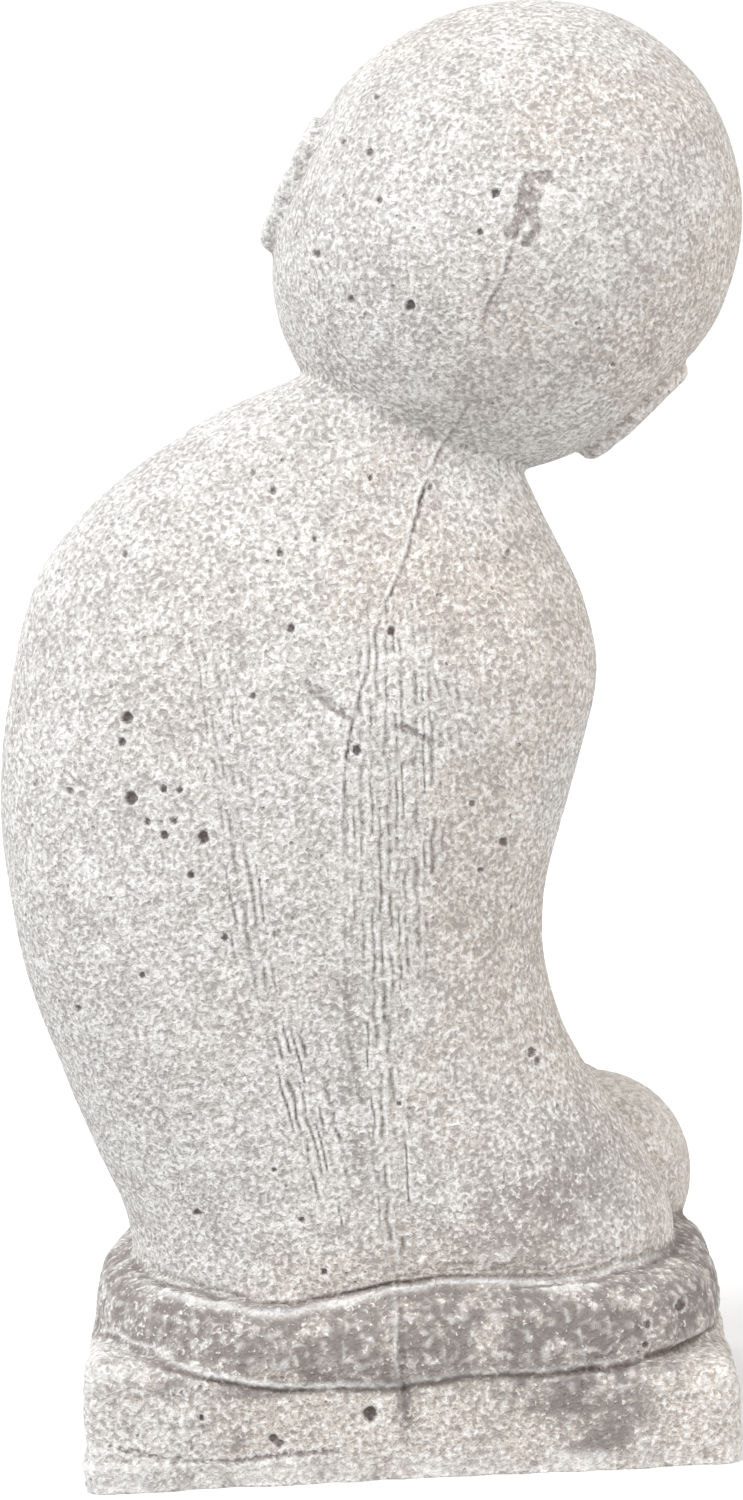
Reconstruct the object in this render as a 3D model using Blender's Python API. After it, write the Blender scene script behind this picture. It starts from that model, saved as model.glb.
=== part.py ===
"""Garden statue of a young monk, cast in concrete in one piece: figure, cushion and plinth.

The monk sits cross-legged with the hands pressed together, sways to its own left and tilts its head
to its own right. It faces -Y, its left side is towards +X, and the underside of the plinth is z = 0.
Lengths are in metres. The figure is drawn on a board of its own, BOARD_HEIGHT units from the seat to
the crown, and FIGURE_HEIGHT sets how large it comes out.
"""

import math

import bmesh
import bpy
import numpy as np
from mathutils import Matrix, Vector
from mathutils.bvhtree import BVHTree

# Driving dimensions
FIGURE_HEIGHT = 0.350
CUSHION_THICKNESS = 0.025
CUSHION_OVERLAP = 0.0065
CUSHION_LIP_SIDE = 0.0118
CUSHION_LIP_BACK = 0.0110
CUSHION_SQUARENESS = 3.2
CUSHION_SLOPE = math.radians(1.2)
PLINTH_HEIGHT = 0.0322
PLINTH_LEDGE = 0.0018
PLINTH_SET_IN = 0.0015
PLINTH_EDGE = 0.005
PLINTH_DRAFT = 0.001
PLINTH_SLOPE = math.radians(2.9)

# The cushion's rounded side: share of its thickness, and how far it is set in there
CUSHION_PROFILE = (
    (0.0, 0.0035),
    (0.12, 0.0010),
    (0.35, 0.0),
    (0.60, 0.0010),
    (0.80, 0.0026),
    (0.93, 0.0056),
    (1.0, 0.0100),
)
# How far the back of the cushion's top sinks under the robe's edge, and where
CUSHION_SAG = 0.0050
CUSHION_SAG_X = 0.032
CUSHION_SAG_WIDTH = 0.024

# The figure's drawing board, in its own units, and how far the figure sits left of the cushion's middle
BOARD_HEIGHT = 350.0
UNIT = FIGURE_HEIGHT / BOARD_HEIGHT
FIGURE_SHIFT = 0.0014
SEAT_HALF_WIDTH = 77.0
SEAT_HALF_DEPTH = 58.0
SEAT_Z = PLINTH_HEIGHT - CUSHION_OVERLAP + CUSHION_THICKNESS

# The cushion stands out by its lip round the seat, and the plinth follows the cushion: a ledge at the
# sides, set in a little behind
CUSHION_HALF_WIDTH = SEAT_HALF_WIDTH * UNIT + CUSHION_LIP_SIDE
CUSHION_HALF_DEPTH = SEAT_HALF_DEPTH * UNIT + CUSHION_LIP_BACK
PLINTH_HALF_WIDTH = CUSHION_HALF_WIDTH + PLINTH_LEDGE
PLINTH_HALF_DEPTH = CUSHION_HALF_DEPTH - PLINTH_SET_IN

# The mesh: how finely the masses are fused, and how many triangles the solid keeps
VOXEL = 0.0016
SOFTENING_FLESH = 16
SOFTENING_TRIM = 3
TRIANGLES = 9850
FLOOR_CUT = 0.010

# Sections of the robed body from the seat up. Each gives its left and right end as seen from behind,
# (x, z) each, and how far it reaches back and forward. The right side dips at the waist and the upper
# sections slope with the shoulders.
BODY_SECTIONS = (
    ((75.0, -9.0), (-76.0, -9.0), 57.0, -50.0),
    ((77.0, 14.0), (-78.0, 7.0), 58.0, -52.0),
    ((84.0, 34.0), (-69.0, 28.0), 58.5, -49.0),
    ((91.8, 56.0), (-54.5, 51.0), 59.0, -44.0),
    ((100.8, 86.0), (-45.0, 78.0), 60.0, -41.0),
    ((105.2, 118.0), (-45.5, 104.0), 60.5, -41.0),
    ((105.0, 143.0), (-55.0, 134.0), 59.5, -42.0),
    ((99.8, 171.5), (-63.0, 162.0), 56.5, -41.0),
    ((91.0, 198.5), (-60.5, 182.0), 50.0, -38.0),
    ((70.8, 219.8), (-54.0, 198.0), 41.0, -33.0),
    ((42.5, 238.0), (-46.5, 215.0), 30.0, -28.0),
    ((15.0, 249.0), (-43.5, 226.0), 22.0, -24.0),
    ((0.0, 260.0), (-42.0, 242.0), 16.0, -22.0),
)
BODY_SQUARENESS = 2.35
RINGS_PER_SECTION = 3
RING_POINTS = 72

# The head: an egg whose long axis leans further than the face does
HEAD_CENTRE = (-43.6, -12.0, 284.0)
HEAD_RADII = (62.5, 63.0, 69.0)
HEAD_EGG_LEAN = math.radians(46.9)
HEAD_LEAN = math.radians(36.5)
HEAD_NOD = math.radians(5.0)

# The carving of the face, as heights over the front of the head. Each row is a soft mound or hollow
# in the head's own frame: x, z, half-width, half-height, how far it stands out.
FACE = (
    (25.0, -27.0, 12.0, 11.0, 5.0),
    (24.0, -44.0, 15.0, 9.0, 3.0),
    (20.0, -2.0, 10.0, 4.6, -3.2),
    (20.5, -9.0, 8.5, 3.8, 3.6),
    (20.0, 6.0, 12.0, 2.6, 1.7),
    (0.0, -6.0, 3.6, 8.0, 1.8),
    (0.0, -15.0, 3.8, 6.0, 3.8),
    (0.0, -21.5, 4.8, 3.6, 6.4),
    (5.8, -22.6, 3.2, 2.8, 3.2),
    (0.0, -33.5, 8.5, 2.6, 3.8),
    (0.0, -40.5, 6.8, 2.8, 4.4),
    (0.0, -36.8, 8.5, 1.1, -2.4),
    (10.2, -36.2, 2.6, 2.6, -1.8),
    (0.0, -51.0, 10.0, 6.0, 6.5),
)
BROW_ARCH = 0.008
FACE_DETAIL = 6

# The ear's rim on the side of the head: y, z, how far it stands out of the hollow that it sits in
EAR_RIM = (
    (-10.0, -10.0, 0.8),
    (-5.5, -5.0, 2.4),
    (2.0, -4.4, 4.0),
    (8.0, -10.0, 4.4),
    (9.0, -18.5, 4.6),
    (6.0, -27.0, 4.4),
    (1.5, -33.5, 4.2),
)
EAR_ROUNDING = 2.7
EAR_PLATE = ((-3.0, -9.0, 3.0), (3.0, -10.0, 3.2), (3.0, -22.0, 3.2), (-1.0, -25.0, 3.0))
EAR_LOBE = ((1.5, -32.0, 3.6), (-1.5, -35.0, 3.8))
# The hollow: middle y and z, half-width, half-height, depth
EAR_HOLLOW = (5.0, -14.0, 20.0, 17.0, 3.4)

# The legs: the outer ball of each knee, where the shins end on the other side, and the lap between
KNEES = ((50.5, -36.0, 7.0, 28.0), (-56.6, -35.0, 10.2, 29.5))
SHIN_END = (12.0, -50.0, 0.0, 15.0)
LAP = ((42.0, -30.0, 12.0, 20.0), (-46.0, -30.0, 12.0, 20.0), (0.0, -28.0, 36.0, 20.0))

# The arms, from the shoulder over the elbow to the wrist, and the lowest corners of each sleeve:
# x, y, z and radius of the ball at each
LEFT_ARM = ((74.0, -6.0, 174.0, 25.0), (76.0, -22.0, 112.0, 24.0), (17.0, -55.0, 144.0, 14.0))
LEFT_SLEEVE = ((27.0, -50.0, 74.0, 12.0), (72.0, -24.0, 74.0, 15.0), (52.0, -44.0, 64.0, 13.0))
RIGHT_ARM = ((-40.0, -10.0, 172.0, 20.0), (-26.0, -24.0, 118.0, 19.0), (-9.0, -55.0, 144.0, 14.0))
RIGHT_SLEEVE = ((-15.0, -50.0, 74.0, 12.0), (-27.0, -24.0, 80.0, 14.0), (-24.0, -42.0, 68.0, 11.0))
CUFF_ROUNDING = 3.2

# The two edges of the robe that cross on the chest, as seen from the front: x, z
COLLARS = (
    ((2.0, 252.0), (15.0, 232.0), (17.0, 206.0), (8.0, 176.0), (-8.0, 150.0)),
    ((-42.0, 226.0), (-33.0, 208.0), (-18.0, 188.0), (2.0, 164.0)),
)
COLLAR_ROUNDING = 3.4

# Rolled folds of the robe, as seen from the front: x, z
FOLDS = (
    ((36.0, 130.0), (42.0, 104.0), (44.0, 74.0)),
    ((56.0, 128.0), (62.0, 102.0), (62.0, 74.0)),
    ((82.0, 144.0), (73.0, 129.0), (56.0, 122.0)),
    ((-22.0, 128.0), (-27.0, 104.0), (-27.0, 76.0)),
    ((-40.0, 142.0), (-34.0, 127.0), (-22.0, 120.0)),
    ((8.0, 58.0), (30.0, 46.0), (52.0, 32.0)),
    ((-8.0, 58.0), (-32.0, 46.0), (-56.0, 34.0)),
    ((10.0, 30.0), (30.0, 20.0), (52.0, 4.0)),
    ((-14.0, 28.0), (-34.0, 20.0), (-58.0, 4.0)),
)
FOLD_ROUNDING = 6.0
FOLD_SMOOTHING = 9

CONCRETE = (0.60, 0.585, 0.565, 1.0)


def on_board(x, y, z):
    """A point of the figure's board, in metres."""
    return Vector((FIGURE_SHIFT + x * UNIT, y * UNIT, SEAT_Z + z * UNIT))


def through(points, steps):
    """A smooth line through the points (Catmull-Rom), with this many steps from each to the next."""
    p = np.array(points, float)
    p = np.vstack([2 * p[0] - p[1], p, 2 * p[-1] - p[-2]])
    line = []
    for a, b, c, d in zip(p[:-3], p[1:-2], p[2:-1], p[3:]):
        for t in np.arange(steps) / steps:
            bend = (2 * a - 5 * b + 4 * c - d) * t * t + (3 * b - a - 3 * c + d) * t**3
            line.append(b + 0.5 * ((c - a) * t + bend))
    line.append(p[-2])
    return np.array(line)


def superellipse(angle, half_width, half_depth, squareness):
    """A point of a squarish oval."""
    c, s = math.cos(angle), math.sin(angle)
    return (
        half_width * math.copysign(abs(c) ** (2 / squareness), c),
        half_depth * math.copysign(abs(s) ** (2 / squareness), s),
    )


def ball(bm, centre, radii, fineness=4):
    """A ball or an egg that stands upright: centre and radii in metres."""
    place = Matrix.Translation(centre) @ Matrix.Diagonal((*radii, 1.0))
    bmesh.ops.create_icosphere(bm, subdivisions=fineness, radius=1.0, matrix=place)


def merge(bm, own):
    """Adds the mesh own to bm and frees own."""
    mesh = bpy.data.meshes.new("piece")
    own.to_mesh(mesh)
    own.free()
    bm.from_mesh(mesh)
    bpy.data.meshes.remove(mesh)


def hull(bm, balls):
    """The skin stretched over several balls, each (x, y, z, radius) on the board."""
    own = bmesh.new()
    for x, y, z, radius in balls:
        place = Matrix.Translation(on_board(x, y, z))
        bmesh.ops.create_icosphere(own, subdivisions=3, radius=radius * UNIT, matrix=place)
    bmesh.ops.delete(own, geom=own.edges[:], context="EDGES_FACES")
    made = bmesh.ops.convex_hull(own, input=own.verts[:])
    inside = [e for e in made["geom_interior"] if isinstance(e, bmesh.types.BMVert)]
    bmesh.ops.delete(own, geom=inside, context="VERTS")
    merge(bm, own)


def tube(bm, points, radius):
    """A round bar along a smooth line of board points, made of overlapping balls."""
    line = through(points, 6)
    length = np.concatenate(([0.0], np.cumsum(np.linalg.norm(np.diff(line, axis=0), axis=1))))
    own = bmesh.new()
    for stop in np.linspace(0.0, length[-1], max(2, int(length[-1] / (0.4 * radius)))):
        x, y, z = (np.interp(stop, length, line[:, k]) for k in range(3))
        ball(own, on_board(x, y, z), [radius * UNIT] * 3, 2)
    merge(bm, own)


def loft(bm, rings):
    """A skin over closed rings of points, with both ends capped."""
    loops = []
    for ring in rings:
        circle = bmesh.ops.create_circle(bm, segments=len(ring), radius=1.0)["verts"]
        for vert, point in zip(circle, ring):
            vert.co = point
        loops.append(list({e for v in circle for e in v.link_edges}))
    for lower, upper in zip(loops, loops[1:]):
        bmesh.ops.bridge_loops(bm, edges=lower + upper)
    bmesh.ops.holes_fill(bm, edges=loops[0] + loops[-1], sides=0)


def add_body(bm):
    """The robed trunk and upper arms, from the seat to the neck."""
    rows = [(*left, *right, back, front) for left, right, back, front in BODY_SECTIONS]
    rings = []
    for lx, lz, rx, rz, back, front in through(rows, RINGS_PER_SECTION):
        centre = Vector(((lx + rx) / 2, (back + front) / 2, (lz + rz) / 2))
        across = Vector(((lx - rx) / 2, 0.0, (lz - rz) / 2))
        ring = []
        for k in range(RING_POINTS):
            a, b = superellipse(
                2 * math.pi * k / RING_POINTS, 1.0, (back - front) / 2, BODY_SQUARENESS
            )
            ring.append(on_board(*(centre + across * a + Vector((0.0, b, 0.0)))))
        rings.append(ring)
    loft(bm, rings)


def head_frame():
    """The head's own frame, in board units: x to its left, -y forwards, z to the crown."""
    lean = Matrix.Rotation(-HEAD_LEAN, 4, "Y")
    nod = Matrix.Rotation(HEAD_NOD, 4, "X")
    return Matrix.Translation(HEAD_CENTRE) @ lean @ nod


def face_height(x, z):
    """How far the face stands out from the egg at (x, z) of the head's frame, in board units."""
    height = np.zeros_like(x)
    z = z + BROW_ARCH * x * x * np.clip((z + 30.0) / 14.0, 0.0, 1.0)
    for fx, fz, wide, high, out in FACE:
        for side in (1, -1) if fx else (1,):
            height += out * np.exp(-(((x - fx * side) / wide) ** 2 + ((z - fz) / high) ** 2) / 2)
    return height


def ear_hollow(y, z):
    """How far the side of the skull is set in round the ear, at (y, z) of the head's frame."""
    middle_y, middle_z, wide, high, deep = EAR_HOLLOW
    return deep * np.exp(-(((y - middle_y) / wide) ** 2) - ((z - middle_z) / high) ** 2)


def add_head(bm):
    """The skull with the face carved on its front, and the ears."""
    frame = head_frame()
    egg_turn = Matrix.Rotation(-HEAD_EGG_LEAN, 4, "Y")
    place = Matrix.Translation(HEAD_CENTRE) @ egg_turn @ Matrix.Diagonal((*HEAD_RADII, 1.0))
    egg = frame.inverted() @ place
    own = bmesh.new()
    bmesh.ops.create_icosphere(own, subdivisions=FACE_DETAIL, radius=1.0, matrix=egg)
    mesh = bpy.data.meshes.new("head")
    own.to_mesh(mesh)
    own.free()
    p = np.empty(len(mesh.vertices) * 3)
    mesh.vertices.foreach_get("co", p)
    p = p.reshape(-1, 3)
    out = p / np.linalg.norm(p, axis=1)[:, None]
    front = np.clip(-out[:, 1] * 2.2 - 0.35, 0, 1)
    carving = face_height(p[:, 0], p[:, 2]) * front * front * (3 - 2 * front)
    carving -= ear_hollow(p[:, 1], p[:, 2])
    p += out * carving[:, None]
    turned = np.array(frame.to_3x3())
    p = p @ turned.T + np.array(HEAD_CENTRE)
    p = p * UNIT + np.array(on_board(0, 0, 0))
    mesh.vertices.foreach_set("co", p.ravel())
    bm.from_mesh(mesh)
    bpy.data.meshes.remove(mesh)

    def on_side(side, y, z, out):
        point = Vector((side * math.sqrt(HEAD_RADII[0] ** 2 - y * y - z * z), y, z)).normalized()
        skull = 1.0 / (egg.inverted().to_3x3() @ point).length
        return frame @ (point * (skull - float(ear_hollow(y, z)) + out))

    for side in (1, -1):
        tube(bm, [on_side(side, y, z, out - EAR_ROUNDING) for y, z, out in EAR_RIM], EAR_ROUNDING)
        hull(bm, [(*on_side(side, y, z, 1.4 - radius), radius) for y, z, radius in EAR_PLATE])
        hull(bm, [(*on_side(side, y, z, 4.4 - radius), radius) for y, z, radius in EAR_LOBE])


def add_legs(bm):
    """The folded legs under the robe: a knee at each front corner, shins that cross, and the lap."""
    for knee in KNEES:
        side = math.copysign(1, knee[0])
        x, y, z, radius = SHIN_END
        hull(bm, [knee, (-x * side, y, z, radius)])
    hull(bm, LAP)


def add_sleeves(bm):
    """The arms in wide sleeves that hang into the lap."""
    for arm, sleeve in ((LEFT_ARM, LEFT_SLEEVE), (RIGHT_ARM, RIGHT_SLEEVE)):
        shoulder, elbow, wrist = arm
        front, back, under = sleeve
        hull(bm, [shoulder, elbow])
        hull(bm, [elbow, wrist, front, under])
        hull(bm, [elbow, back, under])


def add_cuffs(bm):
    """The rolled edge of each sleeve, from the wrist down the front."""
    for arm, sleeve in ((LEFT_ARM, LEFT_SLEEVE), (RIGHT_ARM, RIGHT_SLEEVE)):
        x, y, z, radius = arm[2]
        low_x, low_y, low_z, low = sleeve[0]
        cuff = (
            (x, y + radius, z + radius * 0.6),
            (x, y - radius * 0.65, z + radius * 0.65),
            (x, y - radius * 0.9, z - radius * 0.8),
            (low_x, low_y - low * 0.9, low_z + low),
            (low_x, low_y - low * 0.6, low_z - low * 0.6),
            (low_x, low_y + low, low_z - low * 0.8),
        )
        tube(bm, cuff, CUFF_ROUNDING)


def add_trim(bm, tree):
    """The rolled edges and folds of the robe, laid on the front of the soft masses in the tree."""
    for paths, radius, sink in ((COLLARS, COLLAR_ROUNDING, 0.1), (FOLDS, FOLD_ROUNDING, 0.7)):
        for path in paths:
            line = through(path, 10)
            hits = [tree.ray_cast(on_board(x, -200, z), Vector((0, 1, 0)))[0].y for x, z in line]
            hits = np.pad(np.array(hits) / UNIT, FOLD_SMOOTHING // 2, mode="edge")
            depth = np.convolve(hits, np.ones(FOLD_SMOOTHING) / FOLD_SMOOTHING, mode="valid")
            tube(bm, [(x, y + radius * sink, z) for (x, z), y in zip(line, depth)], radius)


def add_hands(bm):
    """The two hands, pressed together under the chin."""
    for side in (1, -1):
        palm = [(4 + 4.4 * side, -58, 148, 7.5), (3 + 4.0 * side, -52, 170, 4.6)]
        fingers = [(3 + 4.0 * side, -68, 168, 4.6), (-2 + 3.0 * side, -59, 199, 3.0)]
        hull(bm, palm + fingers + [(-1 + 3.0 * side, -67, 196, 3.2)])
        hull(bm, [(3 + 5.0 * side, -52, 158, 4.0), (1 + 3.4 * side, -49, 178, 3.0)])


def add_cushion(bm):
    """The thick oval cushion, whose top slopes across and which bulges a little over the plinth's edge."""
    rings = []
    for share, inset in CUSHION_PROFILE:
        ring = []
        height = SEAT_Z - CUSHION_THICKNESS * (1 - share)
        for j in range(RING_POINTS):
            x, y = superellipse(
                2 * math.pi * j / RING_POINTS,
                CUSHION_HALF_WIDTH - inset,
                CUSHION_HALF_DEPTH - inset,
                CUSHION_SQUARENESS,
            )
            sag = CUSHION_SAG * math.exp(-(((x - CUSHION_SAG_X) / CUSHION_SAG_WIDTH) ** 2))
            behind = max(0.0, y / CUSHION_HALF_DEPTH)
            lift = share * x * math.tan(CUSHION_SLOPE) - sag * share**2 * behind
            ring.append(Vector((x, y, height + lift)))
        rings.append(ring)
    loft(bm, rings)


def add_plinth(bm):
    """The block under the cushion. Its top slopes across and its sides narrow upwards."""
    size = (2 * PLINTH_HALF_WIDTH, 2 * PLINTH_HALF_DEPTH, PLINTH_HEIGHT + FLOOR_CUT)
    place = Matrix.Translation((0, 0, (PLINTH_HEIGHT - FLOOR_CUT) / 2)) @ Matrix.Diagonal((*size, 1))
    verts = bmesh.ops.create_cube(bm, size=1.0, matrix=place)["verts"]
    top = [v for v in verts if v.co.z > 0]
    for v in top:
        v.co.x -= math.copysign(PLINTH_DRAFT, v.co.x)
        v.co.y -= math.copysign(PLINTH_DRAFT, v.co.y)
        v.co.z += v.co.x * math.tan(PLINTH_SLOPE)
    edges = {e for v in top for e in v.link_edges}
    bmesh.ops.bevel(
        bm, geom=list(edges), offset=PLINTH_EDGE, segments=5, profile=0.5, affect="EDGES", material=-1
    )


def evaluated_copy(mesh, modifiers):
    """A mesh after these modifiers, each a type with its settings."""
    working = bpy.data.objects.new("working", mesh)
    bpy.context.scene.collection.objects.link(working)
    for kind, settings in modifiers:
        modifier = working.modifiers.new(kind.lower(), kind)
        for key, value in settings.items():
            setattr(modifier, key, value)
    graph = bpy.context.evaluated_depsgraph_get()
    result = bpy.data.meshes.new_from_object(working.evaluated_get(graph))
    bpy.data.objects.remove(working)
    return result


def fused(bm, softening):
    """The masses in bm joined into one skin and smoothed."""
    bmesh.ops.recalc_face_normals(bm, faces=bm.faces)
    mesh = bpy.data.meshes.new("masses")
    bm.to_mesh(mesh)
    bm.free()
    fuse = ("REMESH", {"mode": "VOXEL", "voxel_size": VOXEL})
    soften = ("SMOOTH", {"factor": 0.5, "iterations": softening})
    return evaluated_copy(mesh, (fuse, soften))


def whole_figure():
    """The soft masses first, well smoothed, then everything crisper laid over them."""
    soft = bmesh.new()
    for add in (add_body, add_legs, add_sleeves):
        add(soft)
    flesh = fused(soft, SOFTENING_FLESH)
    bm = bmesh.new()
    bm.from_mesh(flesh)
    tree = BVHTree.FromBMesh(bm)
    bm.free()
    bm = bmesh.new()
    add_trim(bm, tree)
    for add in (add_cuffs, add_head, add_hands, add_cushion, add_plinth):
        add(bm)
    bm.from_mesh(flesh)
    return fused(bm, SOFTENING_TRIM)


def cut_flat(mesh):
    """The same skin cut level at z = 0 and closed there, so that the underside is one flat face."""
    bm = bmesh.new()
    bm.from_mesh(mesh)
    geom = bm.verts[:] + bm.edges[:] + bm.faces[:]
    made = bmesh.ops.bisect_plane(
        bm, geom=geom, dist=1e-6, plane_co=(0, 0, 0), plane_no=(0, 0, 1), clear_inner=True
    )
    rim = [e for e in made["geom_cut"] if isinstance(e, bmesh.types.BMEdge)]
    bmesh.ops.holes_fill(bm, edges=rim, sides=0)
    bmesh.ops.recalc_face_normals(bm, faces=bm.faces)
    result = bpy.data.meshes.new("cut")
    bm.to_mesh(result)
    bm.free()
    return result


def concrete():
    """Pale, dry concrete."""
    material = bpy.data.materials.new("concrete")
    material.use_nodes = True
    shader = material.node_tree.nodes["Principled BSDF"]
    shader.inputs["Base Color"].default_value = CONCRETE
    shader.inputs["Roughness"].default_value = 0.9
    return material


def main():
    for old in list(bpy.data.objects):
        bpy.data.objects.remove(old)
    mesh = whole_figure()
    count = sum(len(p.vertices) - 2 for p in mesh.polygons)
    thin = ("DECIMATE", {"ratio": TRIANGLES / count})
    mesh = cut_flat(evaluated_copy(mesh, (thin,)))
    mesh.name = "monk_statue"
    statue = bpy.data.objects.new("monk_statue", mesh)
    bpy.context.scene.collection.objects.link(statue)
    statue.data.materials.append(concrete())


main()
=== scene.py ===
"""Garden statue of a young monk, cast in concrete in one piece, for the sidebar of the 3D view.

One operator casts the statue: the same masses as the solid model, fused far more finely, with the
marks of the mould, the trowel and the weather carved in. Another sets the floor, lights and camera.
Lengths are in metres; the figure is drawn on a board of its own in units of 1/350 of its height.
"""

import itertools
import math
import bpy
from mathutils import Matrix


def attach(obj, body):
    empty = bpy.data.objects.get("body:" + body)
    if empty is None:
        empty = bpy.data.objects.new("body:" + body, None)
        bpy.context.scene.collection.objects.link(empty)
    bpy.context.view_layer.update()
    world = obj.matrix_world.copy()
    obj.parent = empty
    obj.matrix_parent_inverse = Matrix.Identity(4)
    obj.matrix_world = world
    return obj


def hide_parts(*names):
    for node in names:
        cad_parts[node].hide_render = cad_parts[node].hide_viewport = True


bl_info = {
    "name": "Monk statue in cast concrete",
    "version": (1, 0, 0),
    "blender": (4, 5, 0),
    "location": "View3D > Sidebar > Monk statue",
    "description": "Casts a weathered garden statue around its solid model",
    "category": "Add Mesh",
}

import bmesh
import bpy
import numpy as np
from bpy.props import FloatProperty, FloatVectorProperty, PointerProperty
from mathutils import Matrix, Vector
from mathutils.bvhtree import BVHTree

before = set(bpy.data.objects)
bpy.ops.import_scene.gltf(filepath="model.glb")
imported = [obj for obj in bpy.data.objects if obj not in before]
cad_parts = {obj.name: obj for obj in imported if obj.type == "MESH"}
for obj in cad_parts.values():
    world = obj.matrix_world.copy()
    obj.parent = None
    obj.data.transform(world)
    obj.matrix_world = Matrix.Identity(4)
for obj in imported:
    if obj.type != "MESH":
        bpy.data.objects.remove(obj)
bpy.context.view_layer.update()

# The seat, cushion and plinth of the solid model
FIGURE_HEIGHT = 0.350
CUSHION_THICKNESS = 0.025
CUSHION_OVERLAP = 0.0065
CUSHION_HALF_WIDTH = 0.0888
CUSHION_HALF_DEPTH = 0.0690
CUSHION_SQUARENESS = 3.2
CUSHION_SLOPE = math.radians(1.2)
PLINTH_HEIGHT = 0.0322
PLINTH_HALF_WIDTH = 0.0906
PLINTH_HALF_DEPTH = 0.0675
PLINTH_EDGE = 0.005
PLINTH_DRAFT = 0.001
PLINTH_SLOPE = math.radians(2.9)
CUSHION_PROFILE = (
    (0.0, 0.0035),
    (0.12, 0.0010),
    (0.35, 0.0),
    (0.60, 0.0010),
    (0.80, 0.0026),
    (0.93, 0.0056),
    (1.0, 0.0100),
)
CUSHION_SAG = 0.0050
CUSHION_SAG_X = 0.032
CUSHION_SAG_WIDTH = 0.024
BOARD_HEIGHT = 350.0
UNIT = FIGURE_HEIGHT / BOARD_HEIGHT
FIGURE_SHIFT = 0.0014
SEAT_Z = PLINTH_HEIGHT - CUSHION_OVERLAP + CUSHION_THICKNESS
FLOOR_CUT = 0.010

# Sections of the robed body from the seat up: left end and right end (x, z), reach back and forward
BODY_SECTIONS = (
    ((75.0, -9.0), (-76.0, -9.0), 57.0, -50.0),
    ((77.0, 14.0), (-78.0, 7.0), 58.0, -52.0),
    ((84.0, 34.0), (-69.0, 28.0), 58.5, -49.0),
    ((91.8, 56.0), (-54.5, 51.0), 59.0, -44.0),
    ((100.8, 86.0), (-45.0, 78.0), 60.0, -41.0),
    ((105.2, 118.0), (-45.5, 104.0), 60.5, -41.0),
    ((105.0, 143.0), (-55.0, 134.0), 59.5, -42.0),
    ((99.8, 171.5), (-63.0, 162.0), 56.5, -41.0),
    ((91.0, 198.5), (-60.5, 182.0), 50.0, -38.0),
    ((70.8, 219.8), (-54.0, 198.0), 41.0, -33.0),
    ((42.5, 238.0), (-46.5, 215.0), 30.0, -28.0),
    ((15.0, 249.0), (-43.5, 226.0), 22.0, -24.0),
    ((0.0, 260.0), (-42.0, 242.0), 16.0, -22.0),
)
BODY_SQUARENESS = 2.35
RINGS_PER_SECTION = 4
RING_POINTS = 96

# The head, an egg that leans further than the face does
HEAD_CENTRE = (-43.6, -12.0, 284.0)
HEAD_RADII = (62.5, 63.0, 69.0)
HEAD_EGG_LEAN = math.radians(46.9)
HEAD_LEAN = math.radians(36.5)
HEAD_NOD = math.radians(5.0)

# Soft mounds and hollows of the face in the head's frame: x, z, half-width, half-height, height
FACE = (
    (25.0, -27.0, 12.0, 11.0, 5.0),
    (24.0, -44.0, 15.0, 9.0, 3.0),
    (20.0, -2.0, 10.0, 4.6, -3.2),
    (20.5, -9.0, 8.5, 3.8, 3.6),
    (20.0, 6.0, 12.0, 2.6, 1.7),
    (0.0, -6.0, 3.6, 8.0, 1.8),
    (0.0, -15.0, 3.8, 6.0, 3.8),
    (0.0, -21.5, 4.8, 3.6, 6.4),
    (5.8, -22.6, 3.2, 2.8, 3.2),
    (0.0, -33.5, 8.5, 2.6, 3.8),
    (0.0, -40.5, 6.8, 2.8, 4.4),
    (0.0, -36.8, 8.5, 1.1, -2.4),
    (10.2, -36.2, 2.6, 2.6, -1.8),
    (0.0, -51.0, 10.0, 6.0, 6.5),
)
# Cut lines of the face: middle x and z, half-length, rise at the ends, half-width, depth
FACE_LINES = (
    (20.5, -12.6, 10.5, 0.026, 0.8, 1.1),
    (20.5, -5.4, 9.5, -0.020, 0.8, 0.6),
    (0.0, -37.2, 10.0, 0.014, 0.8, 1.1),
)
NOSTRILS = (3.3, -25.6, 1.5, 1.2, 1.8)
BROW_ARCH = 0.008
FACE_DETAIL = 7

# The ear's rim on the side of the head: y, z, how far it stands out of the hollow that it sits in
EAR_RIM = (
    (-10.0, -10.0, 0.8),
    (-5.5, -5.0, 2.4),
    (2.0, -4.4, 4.0),
    (8.0, -10.0, 4.4),
    (9.0, -18.5, 4.6),
    (6.0, -27.0, 4.4),
    (1.5, -33.5, 4.2),
)
EAR_ROUNDING = 2.7
EAR_PLATE = ((-3.0, -9.0, 3.0), (3.0, -10.0, 3.2), (3.0, -22.0, 3.2), (-1.0, -25.0, 3.0))
EAR_LOBE = ((1.5, -32.0, 3.6), (-1.5, -35.0, 3.8))
# The hollow: middle y and z, half-width, half-height, depth
EAR_HOLLOW = (5.0, -14.0, 20.0, 17.0, 3.4)

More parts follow.
